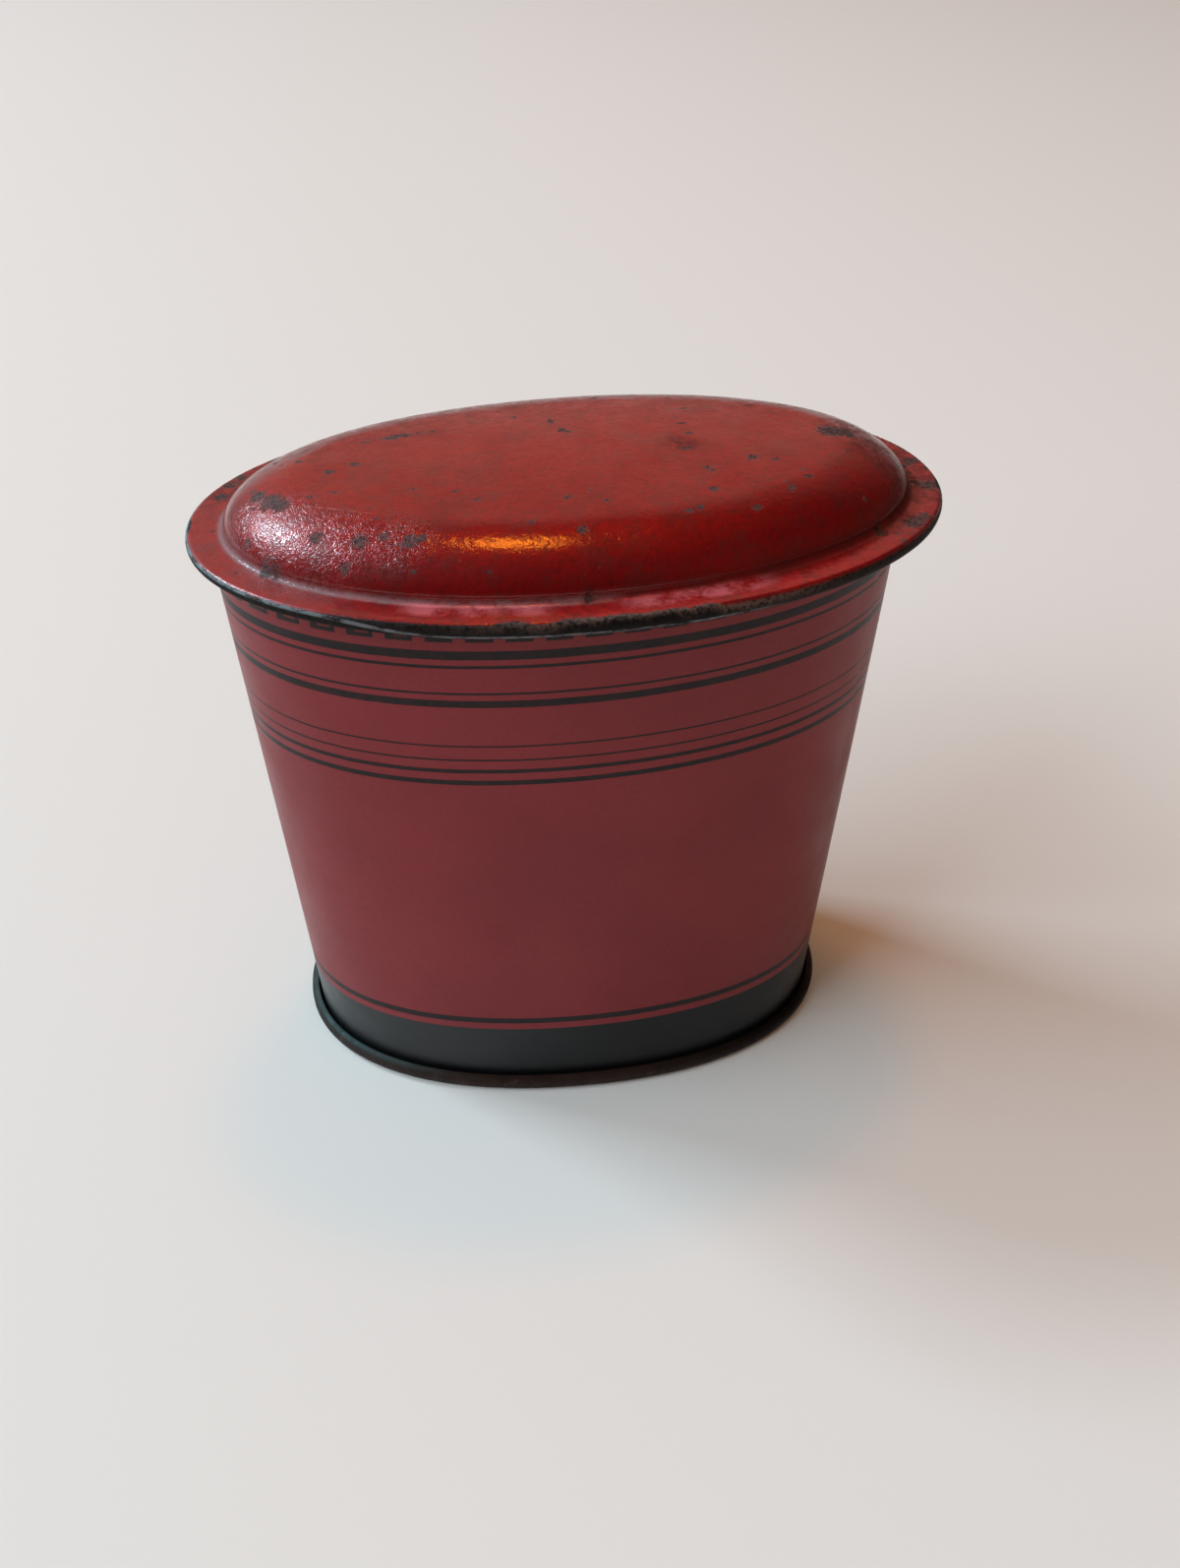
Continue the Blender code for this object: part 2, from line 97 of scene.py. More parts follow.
HEM_HEIGHT = 3 * SHEET + 2 * GAP
UNDER_LEDGE = RIM_HEIGHT - SHEET - GAP
UNDER_HEM = RIM_HEIGHT - HEM_HEIGHT
BASE_HALF = FOOT_HALF - Vector((FOOT_PROUD, FOOT_PROUD))
WALL_TOP_HALF = RIM_HALF - Vector((RIM_OVERHANG, RIM_OVERHANG))
SLOT_Z = RIM_HEIGHT - SLOT_DROP

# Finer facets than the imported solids
OVAL_STEPS = 288
FOLD_STEPS = 16
CREASE_STEPS = 8
SHOULDER_STEPS = 30
CROWN_STEPS = 24
WALL_STEPS = 60
CORNER_STEPS = 8
LEDGE_RING_SHARES = (0.3, 0.6, 0.85)
ROUND_PROFILE_SHARE = 0.5        # gives a bevel a round section
SHARP_ANGLE = math.radians(40)
ANGLE_STEP = 0.001               # radians, for the oval's length per radian at one place

# Hand work is uneven: the lid sits a little to the right and the wall leans to the left, the
# lid's fold hangs lowest at the front right, the foot is turned against the rim and squarer
# than drawn, and the print sags towards both ends of the oval
LID_SHIFT = 0.6 * MM
WALL_LEAN = -0.75 * MM
FOOT_TURN = math.radians(-6)
FOOT_SHIFT = Vector((-0.7 * MM, -0.5 * MM))
FOOT_SQUARE_SHARE = 0.025
FOOT_LENGTH_SHARE = 0.985
HEM_DROP = 0.75 * MM
HEM_DROP_ANGLE = math.radians(-45)
HEM_DROP_REACH_SHARE = 0.5       # the larger, the further round the drop goes
HEM_WAVE = 0.08 * MM
HEM_WAVE_SIZE = 7 * MM
FOOT_FOLD = 2.65 * MM
PRINT_SAG = 1.3 * MM

# The wall's lock seam, at its place round the oval and going back from its step
SEAM_ANGLE = math.radians(-31)
SEAM_DEPTH = 0.22 * MM
SEAM_WIDTH = 4.0 * MM
SEAM_LIP = 0.12 * MM


# Shapes

def oval_point(half, angle):
    power = 2 / OVAL_POWER_SHARE
    across, along = math.sin(angle), math.cos(angle)
    x = half[0] * math.copysign(abs(along) ** power, along)
    y = half[1] * math.copysign(abs(across) ** power, across)
    return x, y


def inset(half, depth):
    return half - Vector((depth, depth))


def arc(radius, start, end, steps):
    """Offsets outward and upward from an arc's centre; angles in degrees from outward."""
    for step in range(steps + 1):
        angle = math.radians(start + (end - start) * step / steps)
        yield radius * math.cos(angle), radius * math.sin(angle)


def even_angles():
    return [2 * math.pi * step / OVAL_STEPS for step in range(OVAL_STEPS)]


def store(mesh, name, values):
    layer = mesh.attributes.new(name, "FLOAT", "POINT")
    layer.data.foreach_set("value", values)


def profile_runs(rings, start):
    """Length along the profile from ring number start, negative before it."""
    runs = [0.0]
    for (half_a, z_a), (half_b, z_b) in zip(rings, rings[1:]):
        runs.append(runs[-1] + math.hypot(half_b[1] - half_a[1], z_b - z_a))
    return [run - runs[start] for run in runs]


def oval_sheet(name, rings, angles, start_ring, centre_height=None, outward=True, shift=None):
    """A fine oval sheet: rings are (half sizes, height), and shift(angle) insets a point."""
    builder = bmesh.new()
    uv = builder.loops.layers.uv.new("wall")
    runs = profile_runs(rings, start_ring)
    rows, run_of = [], []
    for (half, height), run in zip(rings, runs):
        row = []
        for angle in angles:
            ring = inset(half, shift(angle)) if shift else half
            x, y = oval_point(ring, angle)
            row.append(builder.verts.new((x, y, height)))
            run_of.append(run)
        rows.append(row)
    shares = perimeter_shares(rings[len(rings) // 2][0], angles)
    count = len(angles)
    for at, (first, second) in enumerate(zip(rows, rows[1:])):
        low, high = rings[at][1], rings[at + 1][1]
        for step in range(count):
            after = (step + 1) % count
            u_a, u_b = shares[step], shares[step + 1]
            corners = [(first[step], u_a, low), (first[after], u_b, low),
                       (second[after], u_b, high), (second[step], u_a, high)]
            if not outward:
                corners.reverse()
            face = builder.faces.new([corner[0] for corner in corners])
            for loop, (_, u, v) in zip(face.loops, corners):
                loop[uv].uv = (u, v)
    if centre_height is not None:
        centre = builder.verts.new((0, 0, centre_height))
        run_of.append(runs[-1] + rings[-1][0][1])
        for step in range(count):
            after = (step + 1) % count
            corners = [rows[-1][step], rows[-1][after], centre]
            builder.faces.new(corners if outward else corners[::-1])
    mesh = bpy.data.meshes.new(name)
    builder.to_mesh(mesh)
    builder.free()
    store(mesh, "run", run_of)
    thing = bpy.data.objects.new(name, mesh)
    bpy.context.scene.collection.objects.link(thing)
    return thing


def perimeter_shares(half, angles):
    """Share of the oval's length at each angle, with 1 for the first angle reached again."""
    points = [Vector(oval_point(half, angle)) for angle in angles]
    points.append(points[0])
    lengths = [0.0]
    for a, b in zip(points, points[1:]):
        lengths.append(lengths[-1] + (b - a).length)
    return [length / lengths[-1] for length in lengths]


def thicken(thing, outer_material):
    """Gives the sheet its thickness, with bare tin on its inner side."""
    thing.data.materials.append(outer_material)
    thing.data.materials.append(bare_tin())
    modifier = thing.modifiers.new("sheet", "SOLIDIFY")
    modifier.thickness = SHEET
    modifier.offset = -1
    modifier.use_even_offset = True
    modifier.material_offset = 1


def smooth(thing):
    thing.data.shade_smooth()
    thing.data.set_sharp_from_angle(angle=SHARP_ANGLE)


def dome_height(depth):
    reach = max(0, 1 - depth / SHOULDER_WIDTH)
    shoulder = (1 - reach ** SHOULDER_POWER_SHARE) ** (1 / SHOULDER_POWER_SHARE)
    left_share = 1 - depth / (RIM_HALF[1] - LEDGE_WIDTH)
    return (SHOULDER_RISE - CREASE_RADIUS) * shoulder + CROWN_RISE * (1 - left_share ** 2)


def lid_rings():
    fold = HEM_HEIGHT / 2
    rings = [(inset(RIM_HALF, HEM_RETURN), UNDER_HEM)]
    for outward, upward in arc(fold, -90, 90, FOLD_STEPS):
        rings.append((inset(RIM_HALF, fold - outward), RIM_HEIGHT - fold + upward))
    start_ring = FOLD_STEPS // 2 + 1
    ledge_end = LEDGE_WIDTH - CREASE_RADIUS
    for share in LEDGE_RING_SHARES:
        rings.append((inset(RIM_HALF, fold + (ledge_end - fold) * share), RIM_HEIGHT))
    for outward, upward in arc(CREASE_RADIUS, -90, -180, CREASE_STEPS):
        rings.append((inset(RIM_HALF, ledge_end - outward), RIM_HEIGHT + CREASE_RADIUS + upward))
    foot = inset(RIM_HALF, LEDGE_WIDTH)
    base = RIM_HEIGHT + CREASE_RADIUS
    for step in range(1, SHOULDER_STEPS + 1):
        depth = SHOULDER_WIDTH * (1 - math.cos(math.pi / 2 * step / SHOULDER_STEPS))
        rings.append((inset(foot, depth), base + dome_height(depth)))
    plateau = inset(foot, SHOULDER_WIDTH)
    for step in range(1, CROWN_STEPS):
        share = 1 - step / CROWN_STEPS
        rings.append((plateau * share, base + dome_height(foot[1] - plateau[1] * share)))
    return rings, start_ring


def hem_drop(co):
    """How much lower than drawn the lid's fold hangs at a place."""
    angle = math.atan2(co[1] / RIM_HALF.y, co[0] / RIM_HALF.x)
    share = min(1, max(0, math.cos(angle - HEM_DROP_ANGLE) + HEM_DROP_REACH_SHARE))
    return HEM_DROP * share * share * (3 - 2 * share)


def set_by_hand(co, rise):
    """Moves a point of the wall or foot to where it is; rise is 0 at the foot, 1 at the rim."""
    rise = min(1, max(0, rise))
    low = 1 - rise
    diagonal = math.sin(2 * math.atan2(co.y / BASE_HALF.y, co.x / BASE_HALF.x)) ** 2
    spread = 1 + FOOT_SQUARE_SHARE * diagonal * low
    x = co.x * spread * (1 - (1 - FOOT_LENGTH_SHARE) * low)
    y = co.y * spread
    turn = FOOT_TURN * low
    co.x = x * math.cos(turn) - y * math.sin(turn) + FOOT_SHIFT.x * low + WALL_LEAN * rise
    co.y = x * math.sin(turn) + y * math.cos(turn) + FOOT_SHIFT.y * low


# The lid's hollows: place, radius and depth
LID_DENTS = [
    ((-22 * MM, 4 * MM), 9 * MM, 0.10 * MM),
    ((14 * MM, -9 * MM), 11 * MM, 0.09 * MM),
    ((33 * MM, 2 * MM), 8 * MM, 0.10 * MM),
    ((-36 * MM, 9 * MM), 7 * MM, 0.10 * MM),
    ((2 * MM, -24 * MM), 7 * MM, 0.10 * MM),
]
RIPPLE_SIZE = 13 * MM
RIPPLE_DEPTH = 0.09 * MM
WEAR_FADE = 1.5 * MM     # height above the crease over which hand wear sets in


def hand_wear(co):
    """How far handling has pressed the lid's skin in at a place."""
    depth = RIPPLE_DEPTH * (0.5 + 0.5 * field.noise(Vector(co) / RIPPLE_SIZE))
    for (x, y), radius, deep in LID_DENTS:
        away = math.hypot(co[0] - x, co[1] - y) / radius
        if away < 1:
            depth += deep * (1 - away ** 2) ** 2
    return depth


# Places on the lid, in mm along x and y, and how far each reaches
CHIPS = [
    (-45.5, -1.6, 1.9), (-43.9, -4.3, 2.5), (-42.6, -6.1, 2.0), (-38.6, -14.5, 1.5),
    (-33, -17.3, 1.7), (-29.7, -17.6, 1.2), (-26.6, -19.4, 1.7), (-24.9, -19.3, 1.2),
    (-46, -13.7, 1.3),
    (-44.6, -15, 0.9), (-35.5, -20, 1.1), (-38.7, -6, 0.7), (-39.5, -0.5, 0.5), (-36.1, -1.7, 0.6),
    (-34.8, -5.5, 0.9), (-0.8, 10.8, 0.9), (0.1, 7.2, 1.1), (0.9, 6.4, 0.6), (20.3, 12, 0.8),
    (18.5, 6.4, 0.8), (17.1, -2.7, 0.9), (18.3, -9.3, 1.0), (25.5, -7, 1.4), (28.3, -7.7, 1.0),
    (40.3, 0.4, 3.0), (42.4, -0.5, 2.4), (17.2, -15.2, 1.1), (31.9, -13.5, 0.9),
    (28.5, -16.2, 1.1), (22.2, -20.1, 1.0), (13.9, -19.5, 0.9), (-3.7, -14, 0.9),
    (-3.3, -21.9, 1.1), (54.8, -6.2, 2.4), (53.2, -4.8, 1.4), (47.7, -17.3, 2.2),
    (50.2, -15.6, 1.5), (49, -16.8, 1.2), (41.6, -19.4, 1.6), (55.4, 2.5, 1.9),
    (53.6, 0.8, 1.3), (-49.2, 14.8, 1.8), (-50.8, 11.4, 1.5), (-47.6, 17.5, 1.6),
    (-26, 10.5, 1.0), (-24.6, 10.7, 1.4), (-22.8, 10.9, 1.1), (-20.8, 11.1, 0.8),
    (-18.8, 11.3, 0.7), (-29, 9.8, 0.7),
]
GRIME = [
    (44, 2, 6), (45, -4, 6), (46, -9, 5), (54, -3, 7), (55, 2, 6), (54, -10, 6), (48, -17, 6),
    (54, 5, 7), (40, 14, 7), (50, 14, 7), (16.5, -0.5, 3.5), (-50, 12, 6), (-46, 19, 6),
]
DUSTY = [(-52, -4, 9), (-52, 6, 9), (-47, -12, 8), (-41, -19, 7), (50, -8, 7), (45, -16, 8)]
PINKED = [
    (-26, -27.5, 4), (-19, -28.5, 4), (-12, -29.3, 4), (5, -30.2, 6), (11, -30.2, 8),
    (15.5, -29.8, 8),
]
CREASED = [
    (-51, 4, 10), (-50, -6, 12), (-45, -14, 12), (-36, -21, 12), (-26, -25.5, 11),
    (-15, -28, 10), (-6, -29, 8), (48, 8, 8),
]
EDGE_WEAR = [
    (-15, -31.5, 3.0), (-6.5, -33, 4.0), (-1, -35, 4.5), (5.4, -34.5, 4.0), (11, -33.5, 2.6),
    (57, -6, 3.5), (30, 29, 5), (-8, 35, 5), (-40, 24, 5), (-57, 3, 3), (56, 8, 4),
]
CRAZED = [(-43, -11, 10), (-36, -15.5, 8), (-28, -18.5, 6), (-47, -5, 5)]
CHIP_SEED = 11
CHIP_COUNT = 80
SMALL_CHIP_RADII = (0.3, 0.9)    # in mm
CHIP_AREA_SHARES = (0.1, 1)      # of the lid's area within which a chip lies: from and to


def reach(places, co):
    """1 at the middle of the nearest place, falling to 0 at its edge."""
    most = 0
    for x, y, radius in places:
        away = math.hypot(co[0] - x * MM, co[1] - y * MM) / (radius * MM)
        if away < 1:
            most = max(most, 1 - away ** 2)
    return most


def scattered_chips():
    """Small chips spread evenly over the lid, except near its middle."""
    rolls = random.Random(CHIP_SEED)
    places = []
    for _ in range(CHIP_COUNT):
        angle = rolls.uniform(0, 2 * math.pi)
        share = rolls.uniform(*CHIP_AREA_SHARES) ** 0.5
        x, y = oval_point(RIM_HALF * share, angle)
        places.append((x / MM, y / MM, rolls.uniform(*SMALL_CHIP_RADII)))
    return places


def lid_skin():
    rings, start_ring = lid_rings()
    skin = oval_sheet("lid_skin", rings, even_angles(), start_ring,
                      RIM_HEIGHT + SHOULDER_RISE + CROWN_RISE)
    for vertex in skin.data.vertices:
        vertex.co.x += LID_SHIFT
    spots = {"chip": CHIPS + scattered_chips(), "grime": GRIME, "edge_wear": EDGE_WEAR,
             "crazed": CRAZED, "dusty": DUSTY, "pinked": PINKED, "creased": CREASED}
    for name, places in spots.items():
        store(skin.data, name, [reach(places, vertex.co) for vertex in skin.data.vertices])
    top = RIM_HEIGHT + CREASE_RADIUS
    for vertex in skin.data.vertices:
        above = (vertex.co.z - top) / WEAR_FADE
        below = RIM_HEIGHT - vertex.co.z
        if above > 0:
            vertex.co.z -= hand_wear(vertex.co) * min(1, above)
        elif below > 0:
            wave = HEM_WAVE * field.noise(vertex.co / HEM_WAVE_SIZE)
            vertex.co.z = RIM_HEIGHT - below * (1 + (hem_drop(vertex.co) + wave) / HEM_HEIGHT)
    thicken(skin, lid_enamel())
    smooth(skin)
    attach(skin, "case")
    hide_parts("domed_lid")


def wall_half(height):
    share = (height - FOOT_HEIGHT) / (UNDER_HEM - FOOT_HEIGHT)
    return BASE_HALF.lerp(WALL_TOP_HALF, share)


def body_rings():
    low = (FOOT_HEIGHT + SHEET) / 2
    high = UNDER_LEDGE - SHEET
    rings = [(inset(FOOT_HALF, SHEET + GAP), low)]
    for outward, upward in arc(WALL_BEND, 270, 180, CREASE_STEPS):
        half = wall_half(low + WALL_BEND)
        rings.append((inset(half, -WALL_BEND - outward), low + WALL_BEND + upward))
    start, end = low + WALL_BEND, high - WALL_BEND
    for step in range(1, WALL_STEPS):
        height = start + (end - start) * step / WALL_STEPS
        rings.append((wall_half(height), height))
    for outward, upward in arc(WALL_BEND, 180, 90, CREASE_STEPS):
        half = wall_half(high - WALL_BEND)
        rings.append((inset(half, -WALL_BEND - outward), high - WALL_BEND + upward))
    rings.append((inset(RIM_HALF, SHEET + GAP), high))
    return rings


def seam_angles():
    """Even angles, with closer ones across the lock seam."""
    start = Vector(oval_point(WALL_TOP_HALF, SEAM_ANGLE))
    speed = (Vector(oval_point(WALL_TOP_HALF, SEAM_ANGLE + ANGLE_STEP)) - start).length / ANGLE_STEP
    extra = [SEAM_ANGLE + offset / speed
             for offset in (-SEAM_LIP, 0, SEAM_LIP, 2 * SEAM_LIP, SEAM_WIDTH / 2, SEAM_WIDTH)]
    extra = [angle % (2 * math.pi) for angle in extra]
    kept = [angle for angle in even_angles()
            if min(abs(angle - other) for other in extra) * speed > SEAM_LIP]
    return sorted(kept + extra), speed


def body_skin():
    angles, speed = seam_angles()

    def seam(angle):
        """The wall steps in at the seam and comes back out over its width."""
        past = (angle - SEAM_ANGLE % (2 * math.pi)) * speed
        if past < 0 or past > SEAM_WIDTH:
            step = 0
        elif past < SEAM_LIP:
            step = past / SEAM_LIP
        else:
            step = 1 - (past - SEAM_LIP) / (SEAM_WIDTH - SEAM_LIP)
        return SEAM_DEPTH * step

    skin = oval_sheet("body_skin", body_rings(), angles, 0, shift=seam)
    under_the_hem = len(skin.data.vertices) - len(angles)
    for vertex in skin.data.vertices[:under_the_hem]:
        set_by_hand(vertex.co, (vertex.co.z - FOOT_HEIGHT) / (UNDER_HEM - FOOT_HEIGHT))
    for vertex in skin.data.vertices[under_the_hem:]:
        vertex.co.x += LID_SHIFT
    thicken(skin, printed_wall())
    cut_slot(skin)
    smooth(skin)
    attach(skin, "case")
    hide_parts("body_shell")


def rounded_box(name, size, corner, axis, location):
    builder = bmesh.new()
    bmesh.ops.create_cube(builder, size=1)
    bmesh.ops.scale(builder, vec=size, verts=builder.verts)
    side = "XYZ".index(axis)
    along = [edge for edge in builder.edges if edge.verts[0].co[side] * edge.verts[1].co[side] < 0]
    bmesh.ops.bevel(builder, geom=along, offset=corner, segments=CORNER_STEPS,
                    profile=ROUND_PROFILE_SHARE, affect="EDGES")
    bmesh.ops.translate(builder, vec=location, verts=builder.verts)
    mesh = bpy.data.meshes.new(name)
    builder.to_mesh(mesh)
    builder.free()
    thing = bpy.data.objects.new(name, mesh)
    bpy.context.scene.collection.objects.link(thing)
    return thing


def apply_modifiers(thing):
    graph = bpy.context.evaluated_depsgraph_get()
    mesh = bpy.data.meshes.new_from_object(thing.evaluated_get(graph))
    thing.modifiers.clear()
    thing.data = mesh


def cut_away(thing, cutter):
    """Cuts with a box and then removes it, so that no cutter is left in the scene."""
    modifier = thing.modifiers.new("cut", "BOOLEAN")
    modifier.operation = "DIFFERENCE"
    modifier.object = cutter
    bpy.context.view_layer.update()
    apply_modifiers(thing)
    bpy.data.objects.remove(cutter, do_unlink=True)


def cut_slot(skin):
    half = wall_half(SLOT_Z)
    near = half[1] - SLOT_CUT_DEPTH
    far = half[1] + OVERRUN
    size = (SLOT_LENGTH, far - near, SLOT_HEIGHT)
    middle = (0, (near + far) / 2, SLOT_Z)
    cut_away(skin, rounded_box("slot_cutter", size, SLOT_CORNER, "Y", middle))


def pan_rings():
    fold = FOOT_HEIGHT / 2
    rings = []
    for outward, upward in arc(fold, 90, -90, FOLD_STEPS):
        rings.append((inset(FOOT_HALF, fold - outward), (fold + upward) * FOOT_FOLD / FOOT_HEIGHT))
    recess = inset(BASE_HALF, 2 * SHEET + GAP)
    for outward, upward in arc(PANEL_BEND, 90, 180, CREASE_STEPS):
        rings.append((inset(recess, -PANEL_BEND - outward), PANEL_BEND - upward))
    for outward, upward in arc(PANEL_BEND, 0, 90, CREASE_STEPS):
        rings.append((inset(recess, PANEL_BEND - outward), PANEL_LIFT - PANEL_BEND + upward))
    return rings


def pan_skin():
    skin = oval_sheet("pan_skin", pan_rings(), even_angles(), FOLD_STEPS // 2, PANEL_LIFT,
                      outward=False)
    for vertex in skin.data.vertices:
        set_by_hand(vertex.co, 0)
    thicken(skin, foot_black())
    size = (MOUTH_LENGTH, MOUTH_WIDTH, 2 * OVERRUN)
    cut_away(skin, rounded_box("mouth_cutter", size, MOUTH_CORNER, "Z", (0, 0, PANEL_LIFT)))
    smooth(skin)
    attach(skin, "case")
    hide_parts("base_pan")


# Materials

# The mix node has sockets of the same name for each kind of data; these are the colours'
MIX_COLOUR_A = 6
MIX_COLOUR_B = 7
MIX_COLOUR_OUT = 2


class Nodes:
    """Adds and links the nodes of one tree."""

    def __init__(self, tree):
        self.tree = tree

    def node(self, kind):
        return self.tree.nodes.new(kind)

    def link(self, value, socket):
        """Links another node's output to a socket, or sets the socket to a plain value."""
        if isinstance(value, bpy.types.NodeSocket):
            self.tree.links.new(value, socket)
        else:
            socket.default_value = value

    def math(self, operation, *values, clamp=False):
        node = self.node("ShaderNodeMath")
        node.operation = operation
        node.use_clamp = clamp
        for value, socket in zip(values, node.inputs):
            self.link(value, socket)
        return node.outputs[0]

    def times(self, first, *others):
        for other in others:
            first = self.math("MULTIPLY", first, other)
        return first

    def most(self, first, *others):
        for other in others:
            first = self.math("MAXIMUM", first, other)
        return first

    def along(self, place, direction):
        """How far a place lies along a direction."""
        node = self.node("ShaderNodeVectorMath")
        node.operation = "DOT_PRODUCT"
        self.link(place, node.inputs[0])
        self.link(direction, node.inputs[1])
        return node.outputs["Value"]

    def ramp(self, value, low, high, to_low=0.0, to_high=1.0, smooth_step=True):
        """value mapped from low..high, clamped, to to_low..to_high."""
        node = self.node("ShaderNodeMapRange")
        node.interpolation_type = "SMOOTHSTEP" if smooth_step else "LINEAR"
        for name, number in (("Value", value), ("From Min", low), ("From Max", high),
                             ("To Min", to_low), ("To Max", to_high)):
            self.link(number, node.inputs[name])
        return node.outputs["Result"]

    def colour_mix(self, share, a, b):
        """a where the share is 0, b where it is 1."""
        node = self.node("ShaderNodeMix")
        node.data_type = "RGBA"
        self.link(share, node.inputs["Factor"])
        self.link(a, node.inputs[MIX_COLOUR_A])
        self.link(b, node.inputs[MIX_COLOUR_B])
        return node.outputs[MIX_COLOUR_OUT]


class Graph(Nodes):
    """The nodes of one material."""

    def __init__(self, name):
        self.material = bpy.data.materials.new(name)
        self.material.use_nodes = True
        super().__init__(self.material.node_tree)
        self.shader = self.tree.nodes["Principled BSDF"]
        self.place = self.node("ShaderNodeTexCoord").outputs["Object"]

    def set(self, name, value):
        self.link(value, self.shader.inputs[name])

    def noise(self, size, detail, roughness=0.5, offset=(0, 0, 0), stretch=(1, 1, 1)):
        """Noise whose features are about size long."""
        move = self.node("ShaderNodeMapping")
        move.inputs["Location"].default_value = offset
        move.inputs["Scale"].default_value = stretch
        self.link(self.place, move.inputs["Vector"])
        node = self.node("ShaderNodeTexNoise")
        self.link(move.outputs[0], node.inputs["Vector"])
        self.link(1 / size, node.inputs["Scale"])
        self.link(detail, node.inputs["Detail"])
        self.link(roughness, node.inputs["Roughness"])
        return node.outputs["Fac"]

    def patches(self, size, detail, roughness, low, high, to_low=0.0, to_high=1.0,
                offset=(0, 0, 0)):
        """Patches about size long: to_low where the noise is below low, to_high above high."""
        return self.ramp(self.noise(size, detail, roughness, offset), low, high, to_low, to_high)

    def cracks(self, size, width, offset=(0, 0, 0)):
        """1 on a broken net of fine cracks, whose meshes are about size wide."""
        wobble = self.node("ShaderNodeTexNoise")
        self.link(self.place, wobble.inputs["Vector"])
        self.link(1 / size, wobble.inputs["Scale"])
        move = self.node("ShaderNodeVectorMath")
        move.operation = "MULTIPLY_ADD"
        self.link(wobble.outputs["Color"], move.inputs[0])
        self.link((size, size, size), move.inputs[1])
        self.link(self.place, move.inputs[2])
        cells = self.node("ShaderNodeTexVoronoi")
        cells.feature = "DISTANCE_TO_EDGE"
        self.link(move.outputs[0], cells.inputs["Vector"])
        self.link(1 / size, cells.inputs["Scale"])
        line = self.ramp(cells.outputs["Distance"], 0, width / size, 1, 0)
        broken = self.patches(1.2 * size, 3, 0.7, 0.44, 0.56, offset=offset)
        return self.times(line, broken)

    def attribute(self, name):
        node = self.node("ShaderNodeAttribute")
        node.attribute_name = name
        return node.outputs["Fac"]

    def wall_map(self):
        """Share round the wall, and height."""
        node = self.node("ShaderNodeUVMap")
        node.uv_map = "wall"
        split = self.node("ShaderNodeSeparateXYZ")
        self.link(node.outputs["UV"], split.inputs[0])
        return split.outputs["X"], split.outputs["Y"]

    def place_parts(self):
        """The place's x, y and z."""
        split = self.node("ShaderNodeSeparateXYZ")
        self.link(self.place, split.inputs[0])
        return split.outputs

    def stroke(self, start, end, width):
        """A broken line on the lid seen from above, from start to end in mm, with ragged sides."""
        x, y = self.place_parts()[:2]
        along = Vector(end) - Vector(start)
        length = along.length * MM
        along.normalize()
        across = Vector((-along.y, along.x))

        def measure(direction):
            base = self.math("MULTIPLY_ADD", x, direction.x, -direction.dot(Vector(start)) * MM)
            return self.math("MULTIPLY_ADD", y, direction.y, base)

        ragged = self.noise(0.9 * MM, 5, 0.8, offset=(start[0], end[1], 0))
        off = self.math("ABSOLUTE", measure(across))
        off = self.math("MULTIPLY_ADD", ragged, 2.2 * width * MM, off)
        near = self.ramp(off, 0.8 * width * MM, 1.6 * width * MM, 1, 0)
        off_middle = self.math("ABSOLUTE", self.math("SUBTRACT", measure(along), length / 2))
        return self.times(near, self.ramp(off_middle, length * 0.25, length * 0.52, 1, 0))

    def bump(self, layers):
        """layers are (height socket, depth in metres), from the coarsest."""
        normal = None
        for height, depth in layers:
            node = self.node("ShaderNodeBump")
            node.inputs["Distance"].default_value = depth
            self.link(height, node.inputs["Height"])
            if normal:
                self.link(normal, node.inputs["Normal"])
            normal = node.outputs["Normal"]
        self.set("Normal", normal)
        self.set("Coat Normal", normal)


def colour(red, green, blue):
    """A colour written as it looks, in sRGB steps of 255."""
    linear = []
    for step in (red, green, blue):
        level = step / 255
        linear.append(level / 12.92 if level <= 0.04045 else ((level + 0.055) / 1.055) ** 2.4)
    return (*linear, 1)


DOME_REDS = (colour(143, 14, 13), colour(134, 13, 12))
LEDGE_REDS = (colour(166, 28, 30), colour(150, 25, 27))
DUSTY_RED = colour(122, 58, 56)
RUBBED_GREY = colour(122, 92, 94)
RUBBED_PINK = colour(204, 104, 112)
# Painted shade: the dark red laid in the crease towards the right
CREASE_SHADE_RED = colour(58, 9, 9)
GRIME_BROWN = colour(60, 26, 23)
PRIMERS = (colour(38, 24, 22), colour(80, 56, 52))
SCRATCH_PINK = colour(188, 124, 118)
CRAZED_PINK = colour(150, 76, 84)
HEM_BLACKS = (colour(8, 6, 6), colour(26, 20, 18))
CRUST_BROWN = colour(98, 76, 68)
# Bare tin on the hem's bead, whose pale grey is partly a painted highlight
HEM_METAL_AND_GLINT = colour(122, 124, 128)
TIN_SHARE = 0.5          # how much of the tin shows through the red lacquer

# Spots in the lid's red: the noise's size, detail and roughness, the levels between which a
# spot sets in, what it starts and ends as, and its offset; then the spot's colour
RED_SPOTS = [
    ((2.2 * MM, 5, 0.7, 0.45, 0.75, 0, 0.25, (1, 2, 3)), colour(96, 26, 24)),
    ((0.45 * MM, 2, 0.6, 0.3, 0.7, 0, 0.16, (4, 2, 0)), colour(78, 10, 10)),
    ((0.9 * MM, 5, 0.8, 0.48, 0.64, 0, 0.6, (6, 4, 2)), colour(88, 18, 17)),
    ((5 * MM, 7, 0.75, 0.46, 0.62, 0, 0.6, (1, 7, 5)), colour(98, 32, 29)),
]

